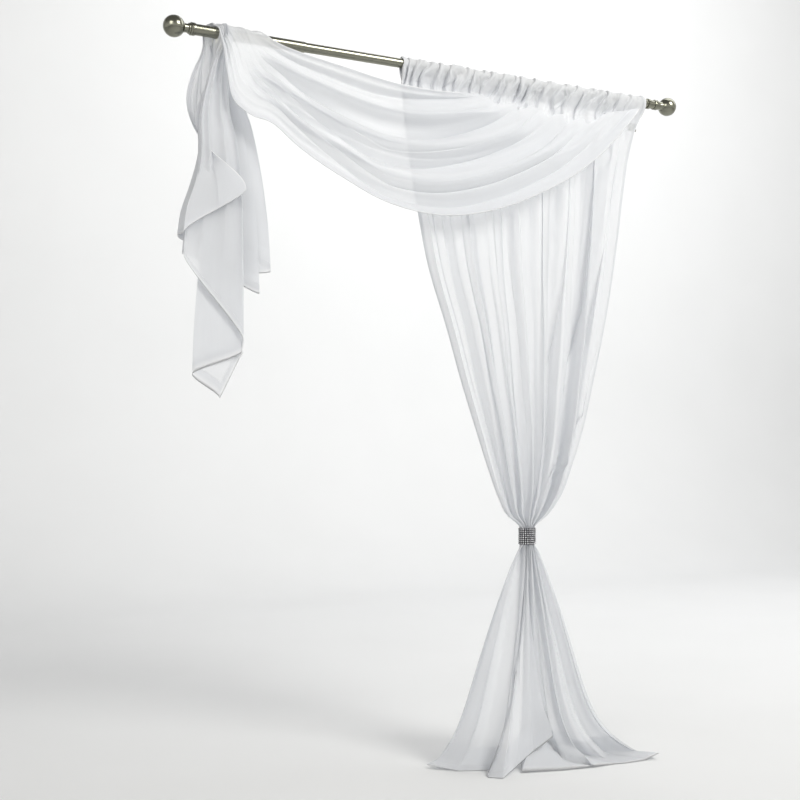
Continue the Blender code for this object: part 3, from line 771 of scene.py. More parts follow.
def add_piece(
    name: str, mesh: bpy.types.Mesh, finishes: Sequence[bpy.types.Material], slot: str | None
) -> bpy.types.Object:
    """Puts a finished mesh in the scene; a piece with a slot rides on the curtain's one body.

    Args:
        name: the piece's name.
        mesh: its mesh, already in place.
        finishes: its materials in slot order.
        slot: the record's material slot, which only decides whether the piece rides on the body; None for the
            studio.

    Returns:
        The new object.
    """
    for finish in finishes:
        mesh.materials.append(finish)
    piece = bpy.data.objects.new(name, mesh)
    bpy.context.scene.collection.objects.link(piece)
    if slot is None:
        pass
    else:
        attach(piece, BODY)
    LOG.info("%s: %d faces", name, len(mesh.polygons))
    return piece


def mesh_from(shape: bmesh.types.BMesh, name: str, sharp_above: float | None = 40.0) -> bpy.types.Mesh:
    """Turns a bmesh into a mesh.

    Args:
        shape: the bmesh, which is freed.
        name: the mesh's name.
        sharp_above: angle in degrees past which an edge stays sharp, or None for flat facets.

    Returns:
        The mesh.
    """
    mesh = bpy.data.meshes.new(name)
    shape.to_mesh(mesh)
    shape.free()
    if sharp_above is not None:
        mesh.shade_smooth()
        mesh.set_sharp_from_angle(angle=math.radians(sharp_above))
    return mesh


@dataclass
class HungCloth:
    """Sheet of voile as a grid of points, with its hems turned back and sewn."""

    name: str
    tube: str
    flat_width: float
    flat_length: float
    cover: float
    columns: int
    rows: int
    ripples: int
    steepest: float
    wander: tuple[Unevenness, ...]
    swing: Unevenness
    swing_middle: float
    lying: float = 0.0016
    hem_lying: float = 0.0004
    hem_gap: float = 0.0009
    heading_cover: float = 0.95
    heading_depth: float = 0.0
    heading_blend: float = 0.012
    crease_rise: float = 0.22
    crease_fall: float = 0.16
    crest_power: float = 1.4
    tube_clearance: float = 0.0022
    rolled_edge: float = 0.008
    hem_cover: float = 0.96
    hem_tone: float = 0.75
    stitch: float = 0.0032
    stitch_pitch: float = 0.0048
    thread_radius: float = 0.00035

    def normals(self, points: np.ndarray) -> np.ndarray:
        """Unit normals of a grid of points, on the room's side of the cloth."""
        down = np.gradient(points, axis=0)
        over = np.gradient(points, axis=1)
        away = np.cross(down, over)
        length = np.linalg.norm(away, axis=2, keepdims=True)
        return -away / np.maximum(length, TINY)

    def clear_of_tube(self, points: np.ndarray) -> np.ndarray:
        """Pushes points that come too near the sheet's tube out to where cloth lies on it."""
        low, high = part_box(self.tube)
        rod, nearest = (low + high) / 2, (high.z - low.z) / 2 + self.tube_clearance
        axis = np.array([rod.y, rod.z])
        off = points[..., 1:] - axis
        distance = np.linalg.norm(off, axis=2, keepdims=True)
        pushed = off * np.maximum(1.0, nearest / np.maximum(distance, TINY))
        beside = (points[..., :1] > low.x) & (points[..., :1] < high.x)
        return np.concatenate([points[..., :1], np.where(beside, pushed, off) + axis], 2)

    def above_floor(self, points: np.ndarray, least: float) -> np.ndarray:
        """Lifts the points that small folds pushed into the floor.

        Args:
            points: points by row, column and coordinate.
            least: the least height above the floor.

        Returns:
            The points, none of them lower than that.
        """
        lifted = points.copy()
        lifted[..., 2] = np.maximum(points[..., 2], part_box("curtain_panel")[0].z + least)
        return lifted

    def reach(self, sections: np.ndarray) -> np.ndarray:
        """Metres of cloth from the first row to each row, as a mean over the width."""
        steps = np.linalg.norm(np.diff(sections, axis=0), axis=2).mean(axis=1)
        return np.concatenate([[0.0], np.cumsum(steps)])

    def on_the_flat(self, across: np.ndarray, along: np.ndarray) -> np.ndarray:
        """Each point's place on the flat cloth in metres."""
        return np.stack(np.broadcast_arrays(across[None, :] * self.flat_width, along[:, None]), 2)

    def resampled(self, sections: np.ndarray, along: np.ndarray) -> np.ndarray:
        """Smooth rows through a cloth's cross sections.

        Args:
            sections: cross sections, by section, column and coordinate.
            along: metres of cloth from the first section, one for each wanted row.

        Returns:
            The rows' points.
        """
        knots = self.reach(sections)
        slopes = np.gradient(sections, knots, axis=0)
        index = np.clip(np.searchsorted(knots, along, side="right") - 1, 0, len(knots) - 2)
        width = (knots[index + 1] - knots[index])[:, None, None]
        share = ((along - knots[index]) / (knots[index + 1] - knots[index]))[:, None, None]
        return (
            (2 * share**3 - 3 * share**2 + 1) * sections[index]
            + (share**3 - 2 * share**2 + share) * width * slopes[index]
            + (3 * share**2 - 2 * share**3) * sections[index + 1]
            + (share**3 - share**2) * width * slopes[index + 1]
        )

    def creased(
        self, creases: Table, across: np.ndarray, place: np.ndarray
    ) -> tuple[np.ndarray, np.ndarray]:
        """Adds up the listed creases.

        Args:
            creases: the creases.
            across: shares of the width.
            place: metres or rows along the cloth, as the creases give them.

        Returns:
            How far each point stands out, and how far it is rolled to the side.
        """
        out, lean = np.zeros((2, len(place), len(across)))
        for crease in creases.named():
            share = np.clip((place - crease.start) / (crease.end - crease.start), 0.0, 1.0)
            centre = np.interp(share, (0.0, 0.5, 1.0), (crease.high, crease.middle, crease.low))
            strength = (ease(share / self.crease_rise) * ease((1 - share) / self.crease_fall))[:, None]
            gap = np.abs(across[None, :] - centre[:, None]) * self.flat_width / crease.width
            out += crease.out * strength * np.exp(-(gap**self.crest_power))
            lean += crease.lean * strength * np.exp(-(gap**2))
        return out, lean

    def rippled(
        self, points: np.ndarray, across: np.ndarray, place: np.ndarray, swell: np.ndarray
    ) -> tuple[np.ndarray, np.ndarray]:
        """Ripples that take up the cloth's spare width.

        Args:
            points: the main form.
            across: shares of the width.
            place: metres or rows along the cloth.
            swell: how much of the spare width they take up, for each row.

        Returns:
            The ripples' height and phase at each point.
        """
        share = place / place[-1]
        wander = sum(part.over(across, share) for part in self.wander)
        path = np.linalg.norm(np.diff(points, axis=1), axis=2).sum(axis=1)
        wanted = np.sqrt(2 * np.maximum(self.flat_width**2 - path**2, 0.0)) / (FULL_TURN * self.ripples)
        height = np.minimum(wanted, self.steepest * path / self.ripples)[:, None]
        height = height * swell[:, None] * (self.swing_middle + self.swing.over(across, share))
        return height, FULL_TURN * self.ripples * (across[None, :] + wander)

    def turn_back(
        self, points: np.ndarray, flat: np.ndarray, away: np.ndarray, count: int, axis: int, gap: float
    ) -> tuple[np.ndarray, np.ndarray, np.ndarray]:
        """Adds a hem: the last rows or columns once more, turned back behind the cloth.

        Args:
            points: grid of points.
            flat: each point's place on the flat cloth.
            away: unit normals.
            count: how many rows or columns the hem is deep.
            axis: 0 for rows and 1 for columns.
            gap: distance of the hem's layer behind the cloth.

        Returns:
            The longer grid, flat places and normals.
        """
        total = points.shape[axis]
        back = np.arange(total - 2, total - 2 - count, -1)
        edge = np.take(flat, [total - 1], axis=axis)
        hem_points = np.take(points, back, axis=axis) - gap * np.take(away, back, axis=axis)
        hem_flat = 2 * edge - np.take(flat, back, axis=axis)
        return (
            np.concatenate([points, hem_points], axis=axis),
            np.concatenate([flat, hem_flat], axis=axis),
            np.concatenate([away, np.take(away, back, axis=axis)], axis=axis),
        )

    def with_hems(
        self, points: np.ndarray, flat: np.ndarray, rows: int, first_columns: int, last_columns: int
    ) -> tuple[np.ndarray, np.ndarray]:
        """Turns back the bottom hem and both side hems.

        Args:
            points: grid of points.
            flat: each point's place on the flat cloth.
            rows: depth of the bottom hem in rows.
            first_columns: depth of the hem at the first column.
            last_columns: depth of the hem at the last column.

        Returns:
            The longer grid and flat places.
        """
        away = self.normals(points)
        points, flat, away = self.turn_back(points, flat, away, rows, 0, self.hem_gap)
        points, flat, away = self.turn_back(points, flat, away, last_columns, 1, 2 * self.hem_gap)
        points, flat, away = (grid[:, ::-1] for grid in (points, flat, away))
        points, flat, away = self.turn_back(points, flat, away, first_columns, 1, 2 * self.hem_gap)
        return points[:, ::-1], flat[:, ::-1]

    def mesh(self, points: np.ndarray, flat: np.ndarray, width: float, length: float) -> bpy.types.Mesh:
        """Mesh of a grid of points with its UV map in metres of flat cloth.

        Args:
            points: points by row, column and coordinate.
            flat: each point's place on the flat cloth in metres.
            width: where the cloth's second side edge is on the flat.
            length: where its bottom edge is on the flat.

        Returns:
            The mesh.
        """
        rows, columns = points.shape[:2]
        grid = bmesh.new()
        bmesh.ops.create_grid(grid, x_segments=columns - 1, y_segments=rows - 1, size=1.0)
        mesh = bpy.data.meshes.new(self.name)
        grid.to_mesh(mesh)
        grid.free()
        places = np.empty(len(mesh.vertices) * 3, np.float32)
        mesh.vertices.foreach_get("co", places)
        places = places.reshape(-1, 3)
        column = np.rint((places[:, 0] + 1) / 2 * (columns - 1)).astype(int)
        row = np.rint((1 - places[:, 1]) / 2 * (rows - 1)).astype(int)
        mesh.vertices.foreach_set("co", points[row, column].astype(np.float32).ravel())
        corners = np.empty(len(mesh.loops), np.int32)
        mesh.loops.foreach_get("vertex_index", corners)
        uv = flat[row, column][corners].astype(np.float32)
        mesh.uv_layers.new(name="flat_cloth").data.foreach_set("uv", uv.ravel())
        over, down = flat[row, column, 0], flat[row, column, 1]
        from_edge = np.minimum(np.minimum(np.abs(over), np.abs(width - over)), np.abs(length - down))
        hemmed = ease((self.rolled_edge - from_edge) / (self.rolled_edge / 2)) * self.hem_tone
        folded = ease((self.heading_depth - down) / self.heading_blend)
        cover = self.cover + (self.heading_cover - self.cover) * folded
        cover = cover + (self.hem_cover - cover) * hemmed
        for name, value in (("cover", cover), ("hemmed", hemmed)):
            mesh.attributes.new(name, "FLOAT", "POINT").data.foreach_set("value", value.astype(np.float32))
        mesh.update()
        mesh.shade_smooth()
        return mesh

    def stitched(
        self, points: np.ndarray, rows: Sequence[int], columns: Sequence[int], thread: bpy.types.Material
    ) -> bpy.types.Object:
        """Sews seams on the face of the cloth, each stitch a short length of thread.

        Args:
            points: grid of points before its hems are turned back.
            rows: rows of the grid that a seam follows.
            columns: columns of the grid that a seam follows.
            thread: the thread's finish.

        Returns:
            The stitching.
        """
        raised = points + self.normals(points) * (self.thread_radius + GAP)
        shape = bmesh.new()
        for line in [raised[row] for row in rows] + [raised[:, column] for column in columns]:
            steps = np.linalg.norm(np.diff(line, axis=0), axis=1)
            reach = np.concatenate([[0.0], np.cumsum(steps)])
            for start in np.arange(self.stitch_pitch, reach[-1] - self.stitch_pitch, self.stitch_pitch):
                first, last = (
                    Vector([float(np.interp(place, reach, line[:, k])) for k in range(3)])
                    for place in (start, start + self.stitch)
                )
                turned = (last - first).to_track_quat("Z", "Y").to_matrix().to_4x4()
                bmesh.ops.create_cone(
                    shape,
                    cap_ends=True,
                    cap_tris=False,
                    segments=4,
                    radius1=self.thread_radius,
                    radius2=self.thread_radius,
                    depth=(last - first).length,
                    matrix=Matrix.Translation((first + last) / 2) @ turned,
                )
        name = f"{self.name}_stitching"
        return add_piece(name, mesh_from(shape, name), [thread], "voile")

    def sewn(
        self,
        points: np.ndarray,
        flat: np.ndarray,
        hems: tuple[int, int, int],
        seams: Sequence[int],
        finishes: tuple[bpy.types.Material, bpy.types.Material],
    ) -> tuple[bpy.types.Object, bpy.types.Object]:
        """Stitches the cloth, turns back its hems and puts it in the scene.

        Args:
            points: points by row, column and coordinate.
            flat: each point's place on the flat cloth in metres.
            hems: depth of the bottom hem in rows, and of the first and second side hem in columns.
            seams: rows that a seam follows.
            finishes: finish of the cloth and of its thread.

        Returns:
            The cloth and its stitching.
        """
        voile, thread = finishes
        sides = [hems[1], points.shape[1] - 1 - hems[2]]
        stitching = self.stitched(points, seams, sides, thread)
        length = flat[..., 1].max()
        points, flat = self.with_hems(points, flat, *hems)
        points = self.above_floor(points, self.hem_lying)
        piece = add_piece(self.name, self.mesh(points, flat, self.flat_width, length), [voile], "voile")
        return piece, stitching


@dataclass
class GatheredPanel(HungCloth):
    """One width of voile gathered on the rod, drawn in by the tie band and spread on the floor."""

    name: str = "voile_panel"
    tube: str = "rod_inner"
    flat_width: float = 1.40
    flat_length: float = 2.45
    cover: float = 0.74
    columns: int = 372
    rows: int = 236
    ripples: int = 17
    steepest: float = 0.36
    wander: tuple[Unevenness, ...] = (Unevenness(7, 9, 2, 0.012), Unevenness(8, 30, 8, 0.003))
    swing: Unevenness = Unevenness(9, 22, 4, 0.55)
    swing_middle: float = 0.62
    ripple_lean: float = 0.35
    heading_depth: float = 0.215
    heading_left: float = 0.561
    heading_right: float = 1.494
    heading_rows: int = 60
    heading_length: float = 0.26
    slant: float = 1.8
    puckers: int = 47
    pucker_depth: float = 0.22
    pucker_shift: Unevenness = Unevenness(43, 30, 60, 0.9)
    bend: Unevenness = Unevenness(41, 26, 44, 0.40)
    gather_size: Unevenness = Unevenness(42, 24, 30, 0.55)
    round_crest: float = 1.25
    sharp_crest: float = 0.35
    valley: float = 0.25
    shallow: float = 0.35
    roll: float = 1.5
    snug: float = 0.62
    snug_width: float = 0.020
    tie_half_width: float = 0.0260
    tie_half_depth: float = 0.0195
    tie_roundness: float = 1.08
    tie_press: float = 1.2
    tie_margin: float = 0.002
    flare_power: int = 10
    setback_start: float = 0.785
    setback_width: float = 0.05
    bottom_hem: float = 0.14
    side_hem: float = 0.022
    pocket_seam: float = 0.178
    folds: Table = PANEL_FOLDS
    skirt: Table = SKIRT_FOLDS
    outline: Table = PANEL_ROWS
    pocket: Table = POCKET
    swell: Table = PANEL_SWELL

    def heading_sections(self, rod: Vector, across: np.ndarray) -> list[np.ndarray]:
        """Cross sections of the heading round the rod."""
        made = []
        tight = 1 - self.snug * np.exp(-across / self.snug_width)
        for row in self.pocket.named():
            right = self.heading_right - row.drawn_in
            x = self.heading_left + (right - self.heading_left) * across
            made.append(np.stack([x, rod.y - row.out * tight, np.full_like(x, rod.z + row.up)], 1))
        return made

    def hanging_sections(self, across: np.ndarray) -> list[np.ndarray]:
        """Cross sections between the heading and the tie band."""
        behind = ease((across - self.setback_start) / self.setback_width)
        depth = self.folds.between_turns("depth", across)
        lean = self.folds.between_turns("side", across)
        made = []
        for row in self.outline.named()[1:]:
            x = row.left + (row.right - row.left) * (across + lean)
            out = row.out + row.fold * depth - row.setback * behind
            made.append(np.stack([x, -out, np.full_like(across, row.z)], 1))
        return made

    def tied_section(self, band: tuple[Vector, Vector], across: np.ndarray, z: float) -> np.ndarray:
        """Cross section of the bundle inside the tie band."""
        middle = (band[0] + band[1]) / 2
        x = self.tie_half_width * (2 * across - 1)
        reach = self.tie_half_depth * np.sqrt(1 - (x / (self.tie_half_width * self.tie_roundness)) ** 2)
        depth = np.clip(self.folds.between_turns("depth", across) * self.tie_press, -1, 1)
        return np.stack([middle.x + x, middle.y - reach * depth, np.full_like(x, z)], 1)

    def skirt_sections(
        self, band: tuple[Vector, Vector], floor: float, across: np.ndarray
    ) -> list[np.ndarray]:
        """Cross sections from the tie band down to the floor and along it to the hem."""
        value = {name: self.skirt.between_turns(name, across) for name in self.skirt.columns[1:]}
        top = self.tied_section(band, across, band[0].z - self.tie_margin)
        foot = np.stack([value["foot_x"], value["foot_y"], floor + value["foot_z"]], 1)
        hem_x, hem_y = value["foot_x"] + value["run_x"], value["foot_y"] + value["run_y"]
        hem = np.stack([hem_x, hem_y, floor + value["lift"]], 1)
        made = []
        for share in SKIRT_STEPS:
            flare = (1 - value["kick"]) * share ** value["late"] + value["kick"] * share**self.flare_power
            section = top + (foot - top) * flare[:, None]
            section[:, 2] = top[:, 2] + (foot[:, 2] - top[:, 2]) * share
            made.append(section)
        return made + [foot + (hem - foot) * run for run in RUN_STEPS]

    def sections(self, across: np.ndarray) -> np.ndarray:
        """All cross sections from the flap behind the rod to the hem on the floor."""
        band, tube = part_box("tie_band"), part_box(self.tube)
        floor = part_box("curtain_panel")[0].z + CLOTH / 2
        made = self.heading_sections((tube[0] + tube[1]) / 2, across) + self.hanging_sections(across)
        for z in (band[1].z + self.tie_margin, band[0].z - self.tie_margin):
            made.append(self.tied_section(band, across, z))
        return np.array(made + self.skirt_sections(band, floor, across))

    def gathered(self, across: np.ndarray, along: np.ndarray) -> tuple[np.ndarray, np.ndarray]:
        """Form of the heading's gathers, round at the crest and sharp in the valley.

        Args:
            across: shares of the width.
            along: metres of cloth from the flap's end.

        Returns:
            Their height and how far the crests roll over to the right, both as shares of the gathers' size.
        """
        lean = self.swell.at("along", "slant", along)[:, None]
        moved = across[None, :] - self.slant * lean * GATHERS.at("across", "slant", across)[None, :]
        share = along / along[-1]
        phase = np.interp(moved, GATHERS.column("across"), np.arange(GATHERS.last + 1))
        phase = phase + self.bend.over(across, share)
        deep = GATHERS.at("across", "deep", moved)
        crest = np.sin(math.pi * phase) ** 2
        size = 1.0 + self.gather_size.over(across, share)
        pucker = np.cos(FULL_TURN * (self.puckers * moved + self.pucker_shift.over(across, share)))
        form = self.round_crest * crest + self.sharp_crest * crest**6 - self.valley
        height = size * form * (self.shallow + (1 - self.shallow) * deep) + self.pucker_depth * pucker * deep
        return height, self.roll * crest**1.5 * deep

    def small_folds(
        self, points: np.ndarray, across: np.ndarray, along: np.ndarray
    ) -> tuple[np.ndarray, np.ndarray]:
        """Gathers, ripples and creases that the main folds don't hold.

        Args:
            points: the main form.
            across: shares of the width.
            along: metres of cloth from the flap's end.

        Returns:
            How far each point stands out along the normal, and how far it moves along the rod.
        """
        height, phase = self.rippled(points, across, along, self.swell.at("along", "ripple", along))
        out, lean = self.creased(PANEL_CREASES, across, along)
        out += height * np.cos(phase)
        size = self.swell.at("along", "gather", along)[:, None]
        crest, roll = self.gathered(across, along)
        return out + size * crest, lean + size * roll - self.ripple_lean * height * np.sin(2 * phase)

    def build(self, voile: bpy.types.Material, thread: bpy.types.Material) -> None:
        """Makes the panel and its stitching.

        Args:
            voile: the cloth's finish.
            thread: the sewing thread's finish.
        """
        across = np.linspace(0.0, 1.0, self.columns)
        sections = self.sections(across)
        length = float(self.reach(sections)[-1])
        heading = np.linspace(0.0, self.heading_length, self.heading_rows, endpoint=False)
        rest = np.linspace(self.heading_length, length, self.rows - self.heading_rows)
        along = np.concatenate([heading, rest])
        points = self.resampled(sections, along)
        out, sideways = self.small_folds(points, across, along)
        points = points + self.normals(points) * out[..., None]
        points[..., 0] += sideways
        points = self.above_floor(self.clear_of_tube(points), self.lying)
        hem_rows = int(np.sum(along > length - self.bottom_hem)) - 1
        hem_columns = int(self.side_hem / self.flat_width * self.columns)
        seams = [int(np.searchsorted(along, self.pocket_seam)), len(along) - 1 - hem_rows]
        hems = (hem_rows, hem_columns, hem_columns)
        piece, stitching = self.sewn(points, self.on_the_flat(across, along), hems, seams, (voile, thread))
        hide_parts("curtain_panel")


@dataclass
class DrapedScarf(HungCloth):
    """One width of voile from the heading across the window, over the rod and down as a pleated tail."""

    name: str = "voile_scarf"
    tube: str = "rod_outer"
    flat_width: float = 0.90
    flat_length: float = 2.25
    cover: float = 0.82
    columns: int = 330
    rows: int = 262
    ripples: int = 10
    steepest: float = 0.34
    wander: tuple[Unevenness, ...] = (Unevenness(21, 7, 3, 0.016), Unevenness(22, 24, 10, 0.004))
    swing: Unevenness = Unevenness(23, 14, 6, 0.60)
    swing_middle: float = 0.55
    swag_fullness: float = 1.35
    tail_top_row: int = 22
    tail_blend_rows: int = 3
    settled: float = 0.95
    crossed_from: float = 0.36
    crossed_over: float = 0.44
    behind_from: float = 0.46
    behind_over: float = 0.12
    behind_row: float = 14.5
    behind_rows: float = 2.0
    seat: float = -0.117
    seat_rows: float = 1.3
    lean_drop: float = 0.090
    clearance: float = 0.002
    hem: float = 0.05
    narrower: int = 3
    swag: Table = SWAG_FOLDS
    tail: Table = TAIL_FOLDS
    outline: Table = SCARF_ROWS
    swell: Table = SCARF_SWELL

    def points(self, across: np.ndarray, row: np.ndarray) -> np.ndarray:
        """Points of the scarf's main form.

        Args:
            across: shares of the width from the long edge to the short one.
            row: fractional row numbers of the outline's table.

        Returns:
            Points by row, column and coordinate.
        """
        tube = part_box(self.tube)
        rod, radius = (tube[0] + tube[1]) / 2, (tube[1].z - tube[0].z) / 2
        fold = {name: self.tail.between_turns(name, across)[None, :] for name in self.tail.columns[1:]}
        depth = self.swag.between_turns("depth", across)[None, :]
        value = {name: self.outline.curved(name, row)[:, None] for name in self.outline.columns}
        share = across[None, :]
        down = np.maximum(row - self.tail_top_row, 0.0)[:, None] / (self.outline.last - self.tail_top_row)
        moved = ease((down - fold["start"]) / (self.settled - fold["start"]))
        reach = fold["side"] + (fold["hem_side"] - fold["side"]) * moved
        swing = value["swing"] * fold["swing"]
        x = value["x"] + (value["low_x"] - value["x"]) * share + value["pleat"] * reach + swing
        drop = value["drop"] + (value["low_drop"] - value["drop"]) * share + fold["hem_drop"] * down**2
        lean = value["lean"] + (value["low_lean"] - value["lean"]) * share * ease(drop / self.lean_drop)
        wrap = radius + self.clearance + CLOTH / 2
        stand_off = wrap + lean + value["ripple"] * depth * self.swag_fullness
        quarter = wrap * math.pi / 2
        turn = np.clip(drop, -quarter, quarter) / wrap
        below = np.maximum(np.abs(drop) - quarter, 0.0)
        behind = ease((share - self.behind_from) / self.behind_over)
        behind = behind * ease((row - self.behind_row) / self.behind_rows)[:, None]
        sideways = np.sin(turn) * (1 - behind) - np.abs(np.sin(turn)) * behind
        y, z = rod.y - stand_off * sideways, rod.z + stand_off * np.cos(turn) - below
        crossed = ease((down - self.crossed_from) / self.crossed_over)
        out = fold["top_out"] + (fold["out"] - fold["top_out"]) * crossed
        in_tail = ease((row - self.tail_top_row + 1) / self.tail_blend_rows)[:, None]
        return np.stack([x, y + (rod.y - wrap - out - y) * in_tail, z], 2)

    def small_folds(
        self, points: np.ndarray, across: np.ndarray, row: np.ndarray
    ) -> tuple[np.ndarray, np.ndarray]:
        """Ripples and creases that the main folds don't hold.

        Args:
            points: the main form.
            across: shares of the width.
            row: fractional row numbers of the outline's table.

        Returns:
            How far each point stands out along the normal, and how far it moves down.
        """
        height, phase = self.rippled(points, across, row, self.swell.at("row", "ripple", row))
        out, roll = self.creased(SCARF_CREASES, across, row)
        return out + height * np.cos(phase), roll

    def from_heading(
        self, points: np.ndarray, flat: np.ndarray, across: np.ndarray, row: np.ndarray
    ) -> tuple[np.ndarray, np.ndarray]:
        """Starts each column where the cloth leaves the heading's gathers, and lays it on them there.

        Args:
            points: points by row, column and coordinate.
            flat: each point's place on the flat cloth.
            across: shares of the width.
            row: fractional row numbers of the outline's table.

        Returns:
            The points and their flat places.
        """
        start = SCARF_STARTS.between_turns("row", across)
        share = np.linspace(0.0, 1.0, len(row))[:, None]
        wanted = start + (row[-1] - start) * share
        both = np.concatenate([points, flat], 2)
        moved = np.empty_like(both)
        for column in range(len(across)):
            for k in range(both.shape[2]):
                moved[:, column, k] = np.interp(wanted[:, column], row, both[:, column, k])
        seated = 1 - ease((wanted - start) / self.seat_rows)
        moved[..., 1] += np.maximum(self.seat - moved[..., 1], 0.0) * seated
        return moved[..., :3], moved[..., 3:]

    def build(self, voile: bpy.types.Material, thread: bpy.types.Material) -> None:
        """Makes the scarf and its stitching.

        Args:
            voile: the cloth's finish.
            thread: the sewing thread's finish.
        """
        across = np.linspace(0.0, 1.0, self.columns)
        row = np.linspace(0.0, self.outline.last, self.rows)
        points = self.points(across, row)
        out, roll = self.small_folds(points, across, row)
        points = points + self.normals(points) * out[..., None]
        points[..., 2] -= roll
        points = self.clear_of_tube(points)
        along = self.reach(points)
        points, flat = self.from_heading(points, self.on_the_flat(across, along), across, row)
        hem_rows = int(np.sum(along > along[-1] - self.hem / self.narrower))
        hem_columns = int(self.hem / self.flat_width * self.columns)
        hems = (hem_rows, hem_columns // self.narrower, hem_columns)
        piece, stitching = self.sewn(points, flat, hems, [len(row) - 1 - hem_rows], (voile, thread))
        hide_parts("scarf")


@dataclass
class StoneBand:
    """Elastic tape round the tied cloth, set all round with rows of stones in silver cups."""

    rows: int = 8
    around: int = 22
    stone_share: float = 0.37
    facets: int = 8
    most_tilt: float = 0.24
    stone_height: float = 0.0013
    stone_inset: float = 0.0014
    flat_top: float = 0.52
    cup_sides: int = 10
    cup_height: float = 0.0013
    cup_inset: float = 0.0019
    cup_base: float = 1.10
    cup_rim: float = 1.04
    tape: float = 0.0012
    tape_inset: float = 0.0022
    tape_steps: int = 96
    seed: int = 12

    def place(self, band: tuple[Vector, Vector], turn: float, height: float, rise: float) -> Matrix:
        """Where a stone sits: on the oval, facing out.

        Args:
            band: lowest and highest corner of the band.
            turn: angle round the oval.
            height: share of the band's height.
            rise: distance in from the band's outer face.

        Returns:
            The stone's matrix, with Z pointing out.
        """
        middle, half = (band[0] + band[1]) / 2, (band[1] - band[0]) / 2
        x, y = middle.x + (half.x - rise) * math.cos(turn), middle.y + (half.y - rise) * math.sin(turn)
        spot = Vector((x, y, band[0].z + (band[1].z - band[0].z) * height))
        out = Vector((half.y * math.cos(turn), half.x * math.sin(turn), 0.0)).normalized()
        return Matrix.Translation(spot) @ out.to_track_quat("Z", "Y").to_matrix().to_4x4()

    def turns(self, band: tuple[Vector, Vector]) -> list[float]:
        """Angles that space the stones evenly round the oval."""
        half = (band[1] - band[0]) / 2
        fine = np.linspace(0.0, FULL_TURN, 721)
        outline = np.stack([half.x * np.cos(fine), half.y * np.sin(fine)], 1)
        length = np.concatenate([[0.0], np.cumsum(np.linalg.norm(np.diff(outline, axis=0), axis=1))])
        return list(np.interp(np.arange(self.around) / self.around * length[-1], length, fine))

    def build(self, stone: bpy.types.Material, cup: bpy.types.Material, web: bpy.types.Material) -> None:
        """Makes the tape, the cups and the stones.

        Args:
            stone: finish of the stones.
            cup: finish of the cups.
            web: finish of the tape.
        """
        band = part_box("tie_band")
        middle, half = (band[0] + band[1]) / 2, (band[1] - band[0]) / 2
        pitch = (band[1].z - band[0].z) / self.rows
        radius = pitch * self.stone_share
        wobble = np.random.default_rng(self.seed)
        stones, cups, tape = bmesh.new(), bmesh.new(), bmesh.new()
        for turn in self.turns(band):
            for row in range(self.rows):
                height = (row + 0.5) / self.rows
                tilt = Matrix.Rotation(wobble.uniform(-self.most_tilt, self.most_tilt), 4, "X")
                tilt = tilt @ Matrix.Rotation(wobble.uniform(-self.most_tilt, self.most_tilt), 4, "Y")
                spin = Matrix.Rotation(wobble.uniform(0.0, FULL_TURN), 4, "Z")
                raised = Matrix.Translation((0.0, 0.0, self.stone_height / 2))
                bmesh.ops.create_cone(
                    stones,
                    cap_ends=True,
                    cap_tris=False,
                    segments=self.facets,
                    radius1=radius,
                    radius2=radius * self.flat_top,
                    depth=self.stone_height,
                    matrix=self.place(band, turn, height, self.stone_inset) @ tilt @ spin @ raised,
                )
                bmesh.ops.create_cone(
                    cups,
                    cap_ends=True,
                    segments=self.cup_sides,
                    radius1=radius * self.cup_base,
                    radius2=radius * self.cup_rim,
                    depth=self.cup_height,
                    matrix=self.place(band, turn, height, self.cup_inset),
                )
        profile = [tape.verts.new((1.0, 0.0, corner.z)) for corner in band]
        tape.edges.new(profile)
        bmesh.ops.spin(
            tape,
            geom=tape.verts[:] + tape.edges[:],
            cent=(0.0, 0.0, 0.0),
            axis=(0.0, 0.0, 1.0),
            angle=FULL_TURN,
            steps=self.tape_steps,
            use_merge=True,
        )
        bmesh.ops.remove_doubles(tape, verts=tape.verts, dist=1e-6)
        reach = (half.x - self.tape_inset, half.y - self.tape_inset, 1.0)
        bmesh.ops.scale(tape, vec=reach, verts=tape.verts)
        bmesh.ops.translate(tape, vec=(middle.x, middle.y, 0.0), verts=tape.verts)
        bmesh.ops.recalc_face_normals(tape, faces=tape.faces)
        bmesh.ops.solidify(tape, geom=tape.faces[:], thickness=self.tape)
        web_piece = add_piece("tie_band_elastic_tape", mesh_from(tape, "elastic_tape"), [web], "rhinestone")
        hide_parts("tie_band")
        add_piece("tie_band_cups", mesh_from(cups, "cups"), [cup], "rhinestone")
        add_piece("tie_band_stones", mesh_from(stones, "stones", None), [stone], "rhinestone")


